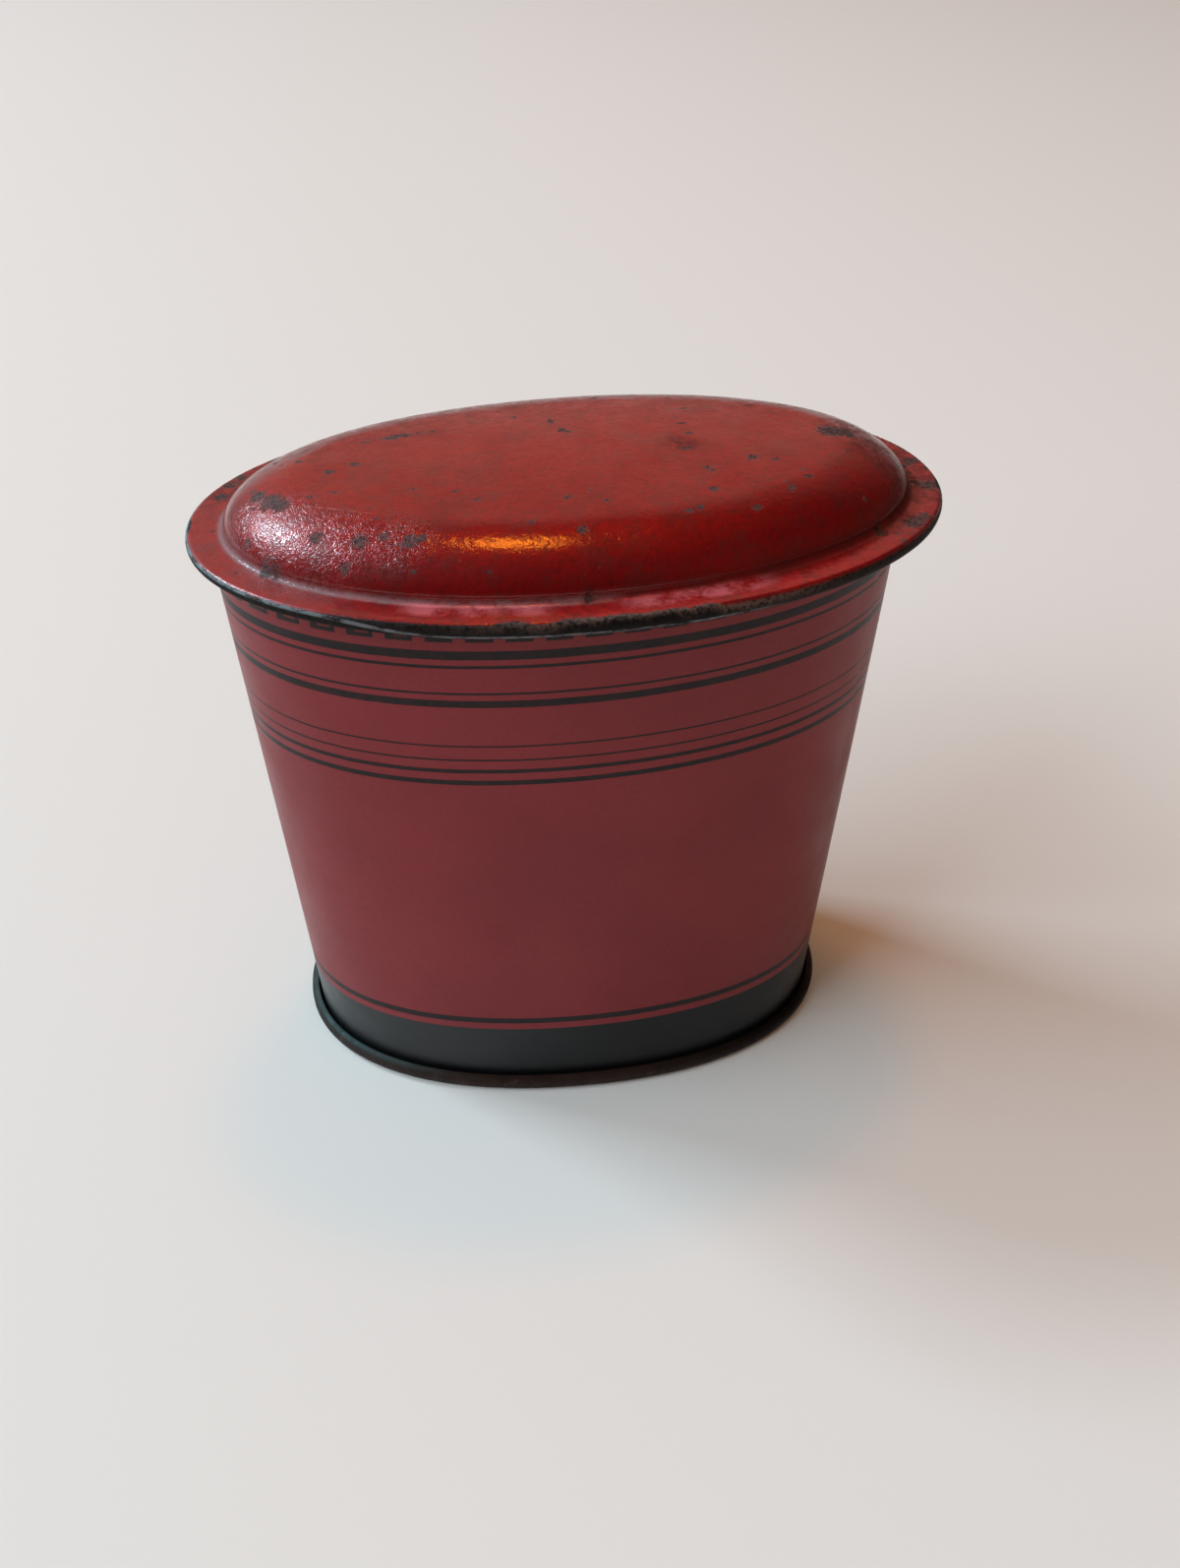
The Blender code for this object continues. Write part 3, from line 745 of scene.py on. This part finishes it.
# Along the lid's profile from the hem's outermost line: the crease's middle, and from where to
# where something sets in or ends; then the same along x and y
CREASE_RUN = 5.6 * MM
LEDGE_END_RUNS = (4.9 * MM, 6.0 * MM)
PINK_START_RUNS = (2.1 * MM, 3.4 * MM)
PINK_END_RUNS = (5.0 * MM, 6.0 * MM)
# the next two rows and the x range below place the painted shade in the crease
CREASE_SHADE_START_RUNS = (4.6 * MM, 5.6 * MM)
CREASE_SHADE_END_RUNS = (7 * MM, 11 * MM)
REAR_GRIME_RUNS = (10 * MM, 28 * MM)
CREASE_SHADE_X = (-5 * MM, 25 * MM)
REAR_GRIME_Y = (1 * MM, 12 * MM)

# What changes along the hem: from and to along x, and the value at either place
HEM_REACH = (-48 * MM, -26 * MM, 0.75 * MM, 0.9 * MM)
HEM_NARROWING = (4 * MM, 18 * MM, 0, 0.25 * MM)
CRUST_AT_LEFT = (-28 * MM, -4 * MM, 0.1, 1)
CRUST_AT_RIGHT = (20 * MM, 34 * MM, 0.8, 0.15)
# the bare line's place, width and fading follow where the window's highlight runs on the bead:
# partly a painted highlight
METAL_GLINT_RUN = (-42 * MM, -24 * MM, 0.55 * MM, -0.55 * MM)
METAL_GLINT_WIDTH = (-45 * MM, -28 * MM, 0.34 * MM, 0.26 * MM)
METAL_GLINT_FADING = (12 * MM, 24 * MM, 1, 0.1)
HEM_EDGE = 0.2 * MM      # half the soft edge of the hem's black
CRUST_EDGE = 1.3 * MM    # how far towards the rim from the hem's inner end the crust sets in

# Long scratches on the lid: from, to and width in mm
DARK_LINES = [
    ((-31.6, 9.3), (-23.2, 12.0), 0.42), ((-25.8, 10.3), (-17.6, 11.3), 0.75),
    ((6, 11.9), (22, 12.2), 0.30), ((-29.8, 0.1), (-28.0, 2.0), 0.22),
    ((-46, -1.0), (-41.5, -7.2), 1.1),
]
PALE_LINES = [
    ((-41.9, -6.8), (-29.6, -13.4), 0.34), ((-46.8, -3.6), (-48.4, -7.2), 0.10),
    ((-48.4, -4.8), (-49.5, -6.6), 0.10), ((12.6, -8.0), (15, -8.3), 0.2),
]


def lacquer_red(g, on_ledge):
    """The red of dome and ledge, uneven and mottled."""
    dome = g.colour_mix(g.patches(16 * MM, 3, 0.5, 0.35, 0.65), *DOME_REDS)
    ledge = g.colour_mix(g.patches(9 * MM, 3, 0.5, 0.35, 0.65, offset=(2, 0, 1)), *LEDGE_REDS)
    red = g.colour_mix(on_ledge, dome, ledge)
    for spots, tint in RED_SPOTS:
        red = g.colour_mix(g.patches(*spots), red, tint)
    return red


def rubbed_crease(g, run):
    """Where the lacquer is rubbed pale along the crease."""
    off_crease = g.math("ABSOLUTE", g.math("SUBTRACT", run, CREASE_RUN))
    in_crease = g.ramp(off_crease, 0.25 * MM, 1.0 * MM, 1, 0)
    patchy = g.patches(1.3 * MM, 6, 0.8, 0.35, 0.6, 0.4, 1, (5, 1, 0))
    creased = g.math("MULTIPLY_ADD", g.attribute("creased"), 0.9, 0.08)
    return g.times(patchy, creased, in_crease)


def pink_ledge(g, run):
    """Where the ledge beside the crease is rubbed pink."""
    beside = g.times(g.ramp(run, *PINK_START_RUNS), g.ramp(run, *PINK_END_RUNS, 1, 0))
    patchy = g.patches(5 * MM, 6, 0.75, 0.36, 0.56, offset=(0, 3, 9))
    return g.times(beside, patchy, g.attribute("pinked"))


def painted_crease_shade(g, x, run):
    """Painted shade in the crease and just above it, towards the right; it also dulls the lacquer
    there.
    """
    near = g.times(g.ramp(run, *CREASE_SHADE_START_RUNS), g.ramp(run, *CREASE_SHADE_END_RUNS, 1, 0))
    return g.times(near, g.ramp(x, *CREASE_SHADE_X))


def chips_and_specks(g):
    """Chips down to the primer, and the same with fine specks as well."""
    ragged = g.noise(0.6 * MM, 6, 0.85, (2, 9, 4))
    chips = g.ramp(g.math("MULTIPLY_ADD", g.attribute("chip"), 0.32, ragged), 0.66, 0.71, 0, 0.95)
    specks = g.patches(0.5 * MM, 3, 0.6, 0.66, 0.70, 0, 0.7, (3, 1, 4))
    specks = g.times(specks, g.patches(8 * MM, 3, 0.6, 0.38, 0.6, offset=(7, 7, 1)))
    return chips, g.most(chips, specks)


def brown_grime(g, y, run):
    """Where grime lies: at its places, and towards the rear."""
    rear = g.times(g.ramp(y, *REAR_GRIME_Y), g.ramp(run, *REAR_GRIME_RUNS, 0.8, 0.2))
    patchy = g.patches(1.8 * MM, 6, 0.8, 0.34, 0.62, offset=(6, 2, 2))
    return g.times(g.most(g.attribute("grime"), rear), patchy)


def scratched(g, surface, primer):
    """The surface with its long scratches, dark ones first."""
    for lines, tint, strength in ((DARK_LINES, primer, 0.85), (PALE_LINES, SCRATCH_PINK, 0.6)):
        marked = g.most(*[g.stroke(*line) for line in lines])
        surface = g.colour_mix(g.times(marked, strength), surface, tint)
    return surface


def lid_hem(g, x, run):
    """The hem's mask, colour and metal: a brown crust inside, then black, bare along one line whose
    pale colour is partly a painted highlight.
    """
    wear = g.attribute("edge_wear")
    wander = g.math("SUBTRACT", g.noise(0.6 * MM, 7, 0.85, (1, 4, 4)), 0.5)
    wander = g.times(wander, g.math("MULTIPLY_ADD", wear, 2.6 * MM, 0.9 * MM))
    hem_end = g.math("SUBTRACT", g.ramp(x, *HEM_REACH), g.ramp(x, *HEM_NARROWING))
    hem_end = g.math("ADD", hem_end, g.math("ADD", g.times(wear, 0.8 * MM), wander))
    inside = g.math("SUBTRACT", run, hem_end)
    hem = g.ramp(inside, -HEM_EDGE, HEM_EDGE, 1, 0)

    lumps = g.noise(0.7 * MM, 6, 0.8, (0, 6, 5))
    black = g.colour_mix(g.ramp(lumps, 0.45, 0.62), *HEM_BLACKS)
    crust = g.times(g.ramp(inside, -CRUST_EDGE, -HEM_EDGE), g.ramp(lumps, 0.38, 0.54))
    crust = g.times(crust, g.ramp(x, *CRUST_AT_RIGHT), g.ramp(x, *CRUST_AT_LEFT))
    hem_colour = g.colour_mix(crust, black, CRUST_BROWN)

    # painted highlight in part: a pale bare line laid where the bead's highlight runs
    off_line = g.math("ABSOLUTE", g.math("SUBTRACT", run, g.ramp(x, *METAL_GLINT_RUN)))
    across = g.math("DIVIDE", off_line, g.ramp(x, *METAL_GLINT_WIDTH))
    at_line = g.math("SUBTRACT", 1, across, clamp=True)
    dashes = g.noise(1.1 * MM, 6, 0.8, (0, 6, 2), stretch=(0.35, 0.35, 1))
    metal = g.times(g.ramp(at_line, 0, 0.6), g.ramp(dashes, 0.38, 0.58),
                    g.ramp(x, *METAL_GLINT_FADING))
    return hem, g.colour_mix(metal, hem_colour, HEM_METAL_AND_GLINT), metal


def lid_enamel():
    """Clear red lacquer on tin, crazed and chipped, with a dark hem rubbed to the metal along a
    line that is partly a painted highlight.
    """
    g = Graph("lid_enamel")
    x, y, _ = g.place_parts()
    run = g.attribute("run")
    on_ledge = g.ramp(run, *LEDGE_END_RUNS, 1, 0)
    speckle = g.patches(1.4 * MM, 5, 0.7, 0.3, 0.65, 0.4, 1, (8, 0, 3))
    dusty = g.times(g.attribute("dusty"), on_ledge, speckle)
    rubbed = rubbed_crease(g, run)
    crease_shade = painted_crease_shade(g, x, run)
    chips, worn = chips_and_specks(g)
    grime = brown_grime(g, y, run)
    primer = g.colour_mix(g.patches(0.6 * MM, 3, 0.6, 0.35, 0.65), *PRIMERS)
    hem, hem_colour, metal = lid_hem(g, x, run)

    surface = lacquer_red(g, on_ledge)
    # the crease's dark red is painted shade; the other marks are dust, wear, grime and chips
    for share, tint in ((g.times(dusty, 0.6), DUSTY_RED), (g.times(rubbed, 0.85), RUBBED_GREY),
                        (pink_ledge(g, run), RUBBED_PINK), (g.times(crease_shade, 0.5), CREASE_SHADE_RED),
                        (g.times(grime, 0.75), GRIME_BROWN), (worn, primer)):
        surface = g.colour_mix(share, surface, tint)
    surface = scratched(g, surface, primer)
    crazed = g.attribute("crazed")
    crazing = g.most(g.cracks(1.1 * MM, 0.16 * MM, (2, 2, 5)),
                     g.cracks(0.6 * MM, 0.10 * MM, (9, 1, 5)))
    surface = g.colour_mix(g.times(crazing, crazed, 0.4), surface, CRAZED_PINK)
    g.set("Base Color", g.colour_mix(hem, surface, hem_colour))

    dulled = g.most(hem, worn, g.times(grime, 0.9), g.times(rubbed, 0.8), g.times(crease_shade, 0.8),
                    g.times(dusty, 0.6))
    lacquer = g.math("SUBTRACT", 1, dulled, clamp=True)
    shine = g.patches(5 * MM, 4, 0.6, 0.3, 0.7, 0.75, 1, (8, 2, 5))
    g.set("Coat Weight", g.times(lacquer, shine))
    g.set("Coat Roughness", 0.09)
    g.set("Specular IOR Level", 0.2)
    g.set("Roughness", g.ramp(dulled, 0, 1, 0.42, 0.75))
    g.set("Metallic", g.most(g.times(metal, hem, 0.6), g.times(lacquer, TIN_SHARE)))

    edge = g.most(chips, g.times(hem, 0.5))
    peel = g.noise(1.6 * MM, 3, 0.6, (1, 1, 8))
    fine = g.noise(0.6 * MM, 3, 0.7, (9, 9, 0))
    rough_skin = g.times(g.noise(0.7 * MM, 4, 0.7, (7, 1, 3)), crazed)
    craze_depth = g.times(crazing, g.math("MULTIPLY_ADD", crazed, 0.95, 0.05))
    g.bump([(g.math("SUBTRACT", 1, edge), 0.02 * MM), (peel, 0.055 * MM), (fine, 0.028 * MM),
            (rough_skin, 0.04 * MM), (g.math("SUBTRACT", 1, craze_depth), 0.03 * MM)])
    return g.material


# Black stripes printed round the wall: height as a share of the wall, and width
STRIPES = [
    (0.937, 1.45 * MM), (0.916, 0.52 * MM), (0.867, 0.38 * MM), (0.848, 1.20 * MM),
    (0.767, 0.30 * MM), (0.740, 0.32 * MM), (0.718, 0.70 * MM), (0.695, 0.88 * MM),
    (0.143, 1.20 * MM),
]
BLACK_BAND_TOP_SHARE = 0.121
KEY_UNITS = 49           # repeats of the key band round the wall
KEY_LOW_SHARE = 0.959
KEY_HIGH_SHARE = 1.0
INK_EDGE = 0.04 * MM     # half the soft edge of a printed line

# A key's foot, block and post: from and to along the unit, then up the band
KEY_MARK_SHARES = [
    ((0.05, 0.74), (0.03, 0.22)), ((0.05, 0.28), (0.03, 1.2)), ((0.62, 0.74), (0.03, 1.2)),
]
KEY_SOFT_SHARES = (0.01, 0.02)   # half the soft edge, along the unit and up the band

MAROONS = (colour(127, 41, 46), colour(120, 38, 43))
MAROON_SPECKS = colour(84, 26, 31)
INK_BLACKS = (colour(6, 6, 8), colour(16, 16, 18))
BAND_SLATES = (colour(10, 11, 13), colour(17, 19, 22))
WALL_SCRATCHES = colour(66, 40, 40)
PRINT_WANDER = 0.16 * MM
BAND_SHEEN = (-35 * MM, 8 * MM, 0.40, 0.04)     # from and to along x, and its strength there


def wall_height(share):
    return FOOT_HEIGHT + (UNDER_HEM - FOOT_HEIGHT) * share


def printed_wall():
    """Satin maroon print with black stripes, a key band under the rim and a black band below."""
    g = Graph("printed_wall")
    around, height = g.wall_map()
    wander = g.math("MULTIPLY_ADD", g.noise(9 * MM, 3, 0.6), PRINT_WANDER, -PRINT_WANDER / 2)
    height = g.math("ADD", height, wander)
    twice_round = g.math("COSINE", g.times(around, 4 * math.pi))
    to_ends = g.math("POWER", g.math("MULTIPLY_ADD", twice_round, 0.5, 0.5), 2)
    sag = g.ramp(height, FOOT_HEIGHT, UNDER_HEM, PRINT_SAG, 0, smooth_step=False)
    sag = g.times(to_ends, sag)
    height = g.math("ADD", height, sag)
    stripes = []
    for share, width in STRIPES:
        off = g.math("ABSOLUTE", g.math("SUBTRACT", height, wall_height(share)))
        stripes.append(g.ramp(off, width / 2 - INK_EDGE, width / 2 + INK_EDGE, 1, 0))
    band_top = wall_height(BLACK_BAND_TOP_SHARE)
    band = g.ramp(height, band_top - INK_EDGE, band_top + INK_EDGE, 1, 0)
    key = key_band(g, around, height)
    rubbed = g.patches(1.3 * MM, 4, 0.7, 0.3, 0.75, 1.0, 0.9, (3, 3, 3))
    inked = g.times(g.most(*stripes, band, key), rubbed)

    maroon = g.colour_mix(g.patches(24 * MM, 3, 0.5, 0.35, 0.65), *MAROONS)
    fine = g.patches(0.6 * MM, 3, 0.6, 0.35, 0.7, 0, 0.2, (6, 0, 1))
    maroon = g.colour_mix(fine, maroon, MAROON_SPECKS)
    black = g.colour_mix(g.noise(5 * MM, 4, 0.6), *INK_BLACKS)
    surface = g.colour_mix(inked, maroon, black)
    slate = g.colour_mix(g.noise(7 * MM, 4, 0.6), *BAND_SLATES)
    surface = g.colour_mix(band, surface, slate)

    scratch = g.noise(1.6 * MM, 5, 0.8, (9, 5, 2), stretch=(0.25, 0.25, 1))
    scratch = g.ramp(scratch, 0.70, 0.73, 0, 0.6)
    g.set("Base Color", g.colour_mix(scratch, surface, WALL_SCRATCHES))
    g.set("Roughness", g.patches(8 * MM, 4, 0.6, 0.3, 0.7, 0.34, 0.44, (2, 8, 6)))
    g.set("Specular IOR Level", 0.25)
    x = g.place_parts()[0]
    g.set("Coat Weight", g.times(band, g.ramp(x, *BAND_SHEEN)))
    g.set("Coat Roughness", 0.3)
    g.bump([(g.noise(1.0 * MM, 3, 0.6), 0.012 * MM)])
    return g.material


def key_band(g, around, height):
    """A running key pattern whose upper half goes under the hem."""
    cell = g.math("FRACT", g.times(around, KEY_UNITS))
    low, high = wall_height(KEY_LOW_SHARE), wall_height(KEY_HIGH_SHARE)
    rise = g.ramp(height, low, high, smooth_step=False)

    def between(value, ends, soft):
        start, end = ends
        up = g.ramp(value, start - soft, start + soft)
        return g.times(up, g.ramp(value, end - soft, end + soft, 1, 0))

    soft_along, soft_up = KEY_SOFT_SHARES
    marks = [g.times(between(cell, along, soft_along), between(rise, up, soft_up))
             for along, up in KEY_MARK_SHARES]
    return g.most(*marks)


FOOT_BLACKS = (colour(13, 9, 8), colour(56, 40, 35))
FOOT_WORN = colour(78, 62, 58)
# Painted shade: a near-black that the foot's colour turns to towards the right
FOOT_PAINTED_SHADE = colour(6, 5, 4)
FOOT_PAINTED_SHADE_REACH = (0, 35 * MM, 0, 0.8)             # from and to along x, and its strength there
TINS = (colour(150, 144, 134), colour(118, 112, 104))
TIN_RUST = colour(96, 62, 44)
STEEL_RUST = colour(92, 56, 38)


def foot_black():
    """Brown-black varnish, worn paler on the curl, with painted shade darkening it towards the
    right.
    """
    g = Graph("foot_black")
    black = g.colour_mix(g.noise(3 * MM, 5, 0.7), *FOOT_BLACKS)
    worn = g.patches(1.8 * MM, 5, 0.75, 0.56, 0.68, 0, 0.7, (4, 0, 7))
    near_edge = g.ramp(g.math("ABSOLUTE", g.attribute("run")), 0.5 * MM, 1.8 * MM, 1, 0)
    surface = g.colour_mix(g.times(worn, near_edge), black, FOOT_WORN)
    x = g.place_parts()[0]
    # painted shade: the foot's colour darkens towards the right
    g.set("Base Color", g.colour_mix(g.ramp(x, *FOOT_PAINTED_SHADE_REACH), surface, FOOT_PAINTED_SHADE))
    g.set("Roughness", g.patches(2 * MM, 4, 0.7, 0.3, 0.7, 0.55, 0.72))
    g.set("Specular IOR Level", 0.25)
    g.bump([(g.noise(0.8 * MM, 4, 0.7), 0.04 * MM)])
    return g.material


def bare_tin():
    """The unprinted inner side of the tinplate, dull with specks of rust."""
    g = Graph("bare_tin")
    tin = g.colour_mix(g.noise(9 * MM, 4, 0.6), *TINS)
    rust = g.patches(1.5 * MM, 5, 0.75, 0.6, 0.7, offset=(5, 5, 5))
    g.set("Base Color", g.colour_mix(rust, tin, TIN_RUST))
    g.set("Metallic", g.math("SUBTRACT", 0.9, g.times(rust, 0.8)))
    g.set("Roughness", g.patches(4 * MM, 4, 0.7, 0.3, 0.7, 0.32, 0.5))
    g.bump([(g.noise(0.9 * MM, 3, 0.6), 0.015 * MM)])
    return g.material


def worn_steel(name, shade, rust_share=0.12):
    """Bare metal of any shade, with specks of rust."""
    g = Graph(name)
    dark = tuple(0.6 * channel for channel in shade[:3]) + (1,)
    steel = g.colour_mix(g.noise(2.5 * MM, 4, 0.6), shade, dark)
    rust = g.patches(1.1 * MM, 5, 0.75, 0.72 - rust_share, 0.78 - rust_share, offset=(2, 4, 6))
    g.set("Base Color", g.colour_mix(rust, steel, STEEL_RUST))
    g.set("Metallic", g.math("SUBTRACT", 1, g.times(rust, 0.9)))
    g.set("Roughness", g.patches(1.5 * MM, 4, 0.7, 0.3, 0.7, 0.3, 0.5))
    g.bump([(g.noise(0.5 * MM, 3, 0.6), 0.01 * MM)])
    return g.material


def dress_base():
    """Finishes for the trap, hinge and latch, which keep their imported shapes."""
    steel = worn_steel("worn_steel", colour(150, 146, 140))
    tin = worn_steel("hinge_tin", colour(140, 134, 124), 0.16)
    brass = worn_steel("dull_brass", colour(168, 134, 72), 0.05)
    black = foot_black()
    looks = {"trap_door": black, "hinge_leaf": tin, "hinge_pin": steel, "hinge_rivet_1": steel,
             "hinge_rivet_2": steel, "key_plug": brass, "latch_tongue": steel,
             "latch_washer": steel}
    for name, material in looks.items():
        node = frame["nodes"][name]
        node.data.materials.clear()
        node.data.materials.append(material)


# Floor, light and camera

FLOOR_HALF = 3.0
FLOOR_DROP = 0.05 * MM   # keeps the floor clear of the foot's underside


def floor():
    bpy.ops.mesh.primitive_plane_add(size=2 * FLOOR_HALF, location=(0, 0, -FLOOR_DROP))
    plane = bpy.context.object
    plane.name = "floor"
    g = Graph("floor_pale")
    g.set("Base Color", colour(215, 217, 214))
    g.set("Roughness", 0.6)
    g.set("Specular IOR Level", 0.1)
    plane.data.materials.append(g.material)


# The surroundings, where 1 is white: the camera sees a plain pale backdrop, and the lacquer
# mirrors a room with a pale lower wall, then a warm one that ends higher up behind the box than
# before it, and a dark ceiling; elevations in degrees. The sides are darker: for each, where that
# starts and is full along its direction, and how much
BACKDROP = (0.68, 0.66, 0.64, 1)
PALE = (0.56, 0.55, 0.53, 1)
WARM = (0.85, 0.27, 0.21, 1)
WARM_FROM = (4, 16)
ENDS_BEFORE = 14
ENDS_BEHIND = 46
RAISED_SHARE = 0.45      # how far towards the back the wall has its full height
FADE_SHARE = 0.12        # how softly the wall ends, as a share of the sky's height
CEILING = 0.03
DIM_SIDES = {(0.8, -0.6, 0): (-0.4, 0.5, 0.92), (-1, 0, 0): (0.1, 0.6, 0.85)}
ROOM_LIGHT = 0.36
ROOM_TINT = (1.0, 0.62, 0.42, 1)


def sine(degrees):
    return math.sin(math.radians(degrees))


def world():
    """A pale room with a dark ceiling, which lights the box only weakly by itself."""
    surroundings = bpy.data.worlds.new("surroundings")
    bpy.context.scene.world = surroundings
    surroundings.use_nodes = True
    g = Nodes(surroundings.node_tree)
    direction = g.node("ShaderNodeTexCoord").outputs["Generated"]
    height = g.along(direction, (0, 0, 1))
    behind = g.along(direction, (0, 1, 0))
    raised = g.ramp(behind, 0, RAISED_SHARE, 0, sine(ENDS_BEHIND) - sine(ENDS_BEFORE))
    reached = g.math("SUBTRACT", height, raised)
    bright = g.ramp(reached, sine(ENDS_BEFORE), sine(ENDS_BEFORE) + FADE_SHARE, 1, CEILING)
    for side, (start, full, dimmed) in DIM_SIDES.items():
        bright = g.times(bright, g.ramp(g.along(direction, side), start, full, 1, 1 - dimmed))
    wall = g.colour_mix(g.ramp(height, sine(WARM_FROM[0]), sine(WARM_FROM[1])), PALE, WARM)
    room = g.colour_mix(bright, (0, 0, 0, 1), wall)
    path = g.node("ShaderNodeLightPath").outputs
    mirrored = g.most(path["Is Glossy Ray"], path["Is Transmission Ray"])
    ambient = tuple(ROOM_LIGHT * channel for channel in ROOM_TINT[:3]) + (1,)
    light = g.colour_mix(mirrored, ambient, room)
    light = g.colour_mix(path["Is Camera Ray"], light, BACKDROP)
    g.link(light, g.tree.nodes["Background"].inputs["Color"])


# Lamps: azimuth from +Y towards +X and elevation in degrees, distance and size in metres, how
# bright a white floor would be if it were lit by this lamp alone, where 1 is white, and its tint
LAMPS = {
    "window": (-55, 42, 3.0, (0.74, 0.44), 0.36, (0.74, 0.89, 1.0)),
    "window_glint": (-55, 42, 3.0, (0.74, 0.44), 1.05, (0.15, 0.88, 1.0)),
    "window_wall": (-100, 37, 3.0, (2.6, 1.8), 0.61, (0.70, 0.88, 1.0)),
    "ceiling_lamp": (12, 75, 1.5, (0.20, 0.16), 0.13, (1.0, 0.28, 0.02)),
}
UNREFLECTED = "window_wall"      # too wide to be seen in the lacquer
REFLECTED_ONLY = "window_glint"  # brightens the window's mirror image, but lights no surface
LAMP_AIM = (0, 0, 80 * MM)


def lamp_at(name, azimuth, elevation, distance, size, share, tint):
    turn, tilt = math.radians(azimuth), math.radians(elevation)
    toward = Vector((math.sin(turn) * math.cos(tilt), math.cos(turn) * math.cos(tilt),
                     math.sin(tilt)))
    data = bpy.data.lights.new(name, "AREA")
    data.shape = "RECTANGLE"
    data.size, data.size_y = size
    data.energy = share * (math.pi * distance) ** 2 / math.sin(tilt)
    data.color = tint
    thing = bpy.data.objects.new(name, data)
    bpy.context.scene.collection.objects.link(thing)
    thing.location = Vector(LAMP_AIM) + toward * distance
    thing.rotation_euler = (-toward).to_track_quat("-Z", "Y").to_euler()
    thing.visible_glossy = name != UNREFLECTED
    thing.visible_diffuse = name != REFLECTED_ONLY


def lights():
    for name, (azimuth, elevation, distance, size, share, tint) in LAMPS.items():
        lamp_at(name, azimuth, elevation, distance, size, share, tint)


# The photo's camera, from a fit to the box's outlines, stripes and seams
CAMERA_PLACE = (-46.06 * MM, -202.08 * MM, 198.90 * MM)
CAMERA_AIM = (4.32 * MM, 2.58 * MM, 39.69 * MM)
CAMERA_ROLL = math.radians(1.003)
LENS = 35.0              # in mm, as the next
SENSOR_WIDTH = 36.0
NEAREST_SEEN = 5 * MM


def camera():
    data = bpy.data.cameras.new("camera")
    data.lens = LENS
    data.sensor_width = SENSOR_WIDTH
    data.clip_start = NEAREST_SEEN
    thing = bpy.data.objects.new("camera", data)
    bpy.context.scene.collection.objects.link(thing)
    aim = (Vector(CAMERA_AIM) - Vector(CAMERA_PLACE)).normalized()
    side = aim.cross(Vector((0, 0, 1))).normalized()
    up = side.cross(aim)
    right = math.cos(CAMERA_ROLL) * side + math.sin(CAMERA_ROLL) * up
    up = right.cross(aim)
    thing.matrix_world = Matrix((
        (right.x, up.x, -aim.x, CAMERA_PLACE[0]),
        (right.y, up.y, -aim.y, CAMERA_PLACE[1]),
        (right.z, up.z, -aim.z, CAMERA_PLACE[2]),
        (0, 0, 0, 1)))
    bpy.context.scene.camera = thing


def main():
    scene = bpy.context.scene
    scene.view_settings.view_transform = "Standard"
    camera()
    world()
    lights()
    floor()
    lid_skin()
    body_skin()
    pan_skin()
    dress_base()


main()
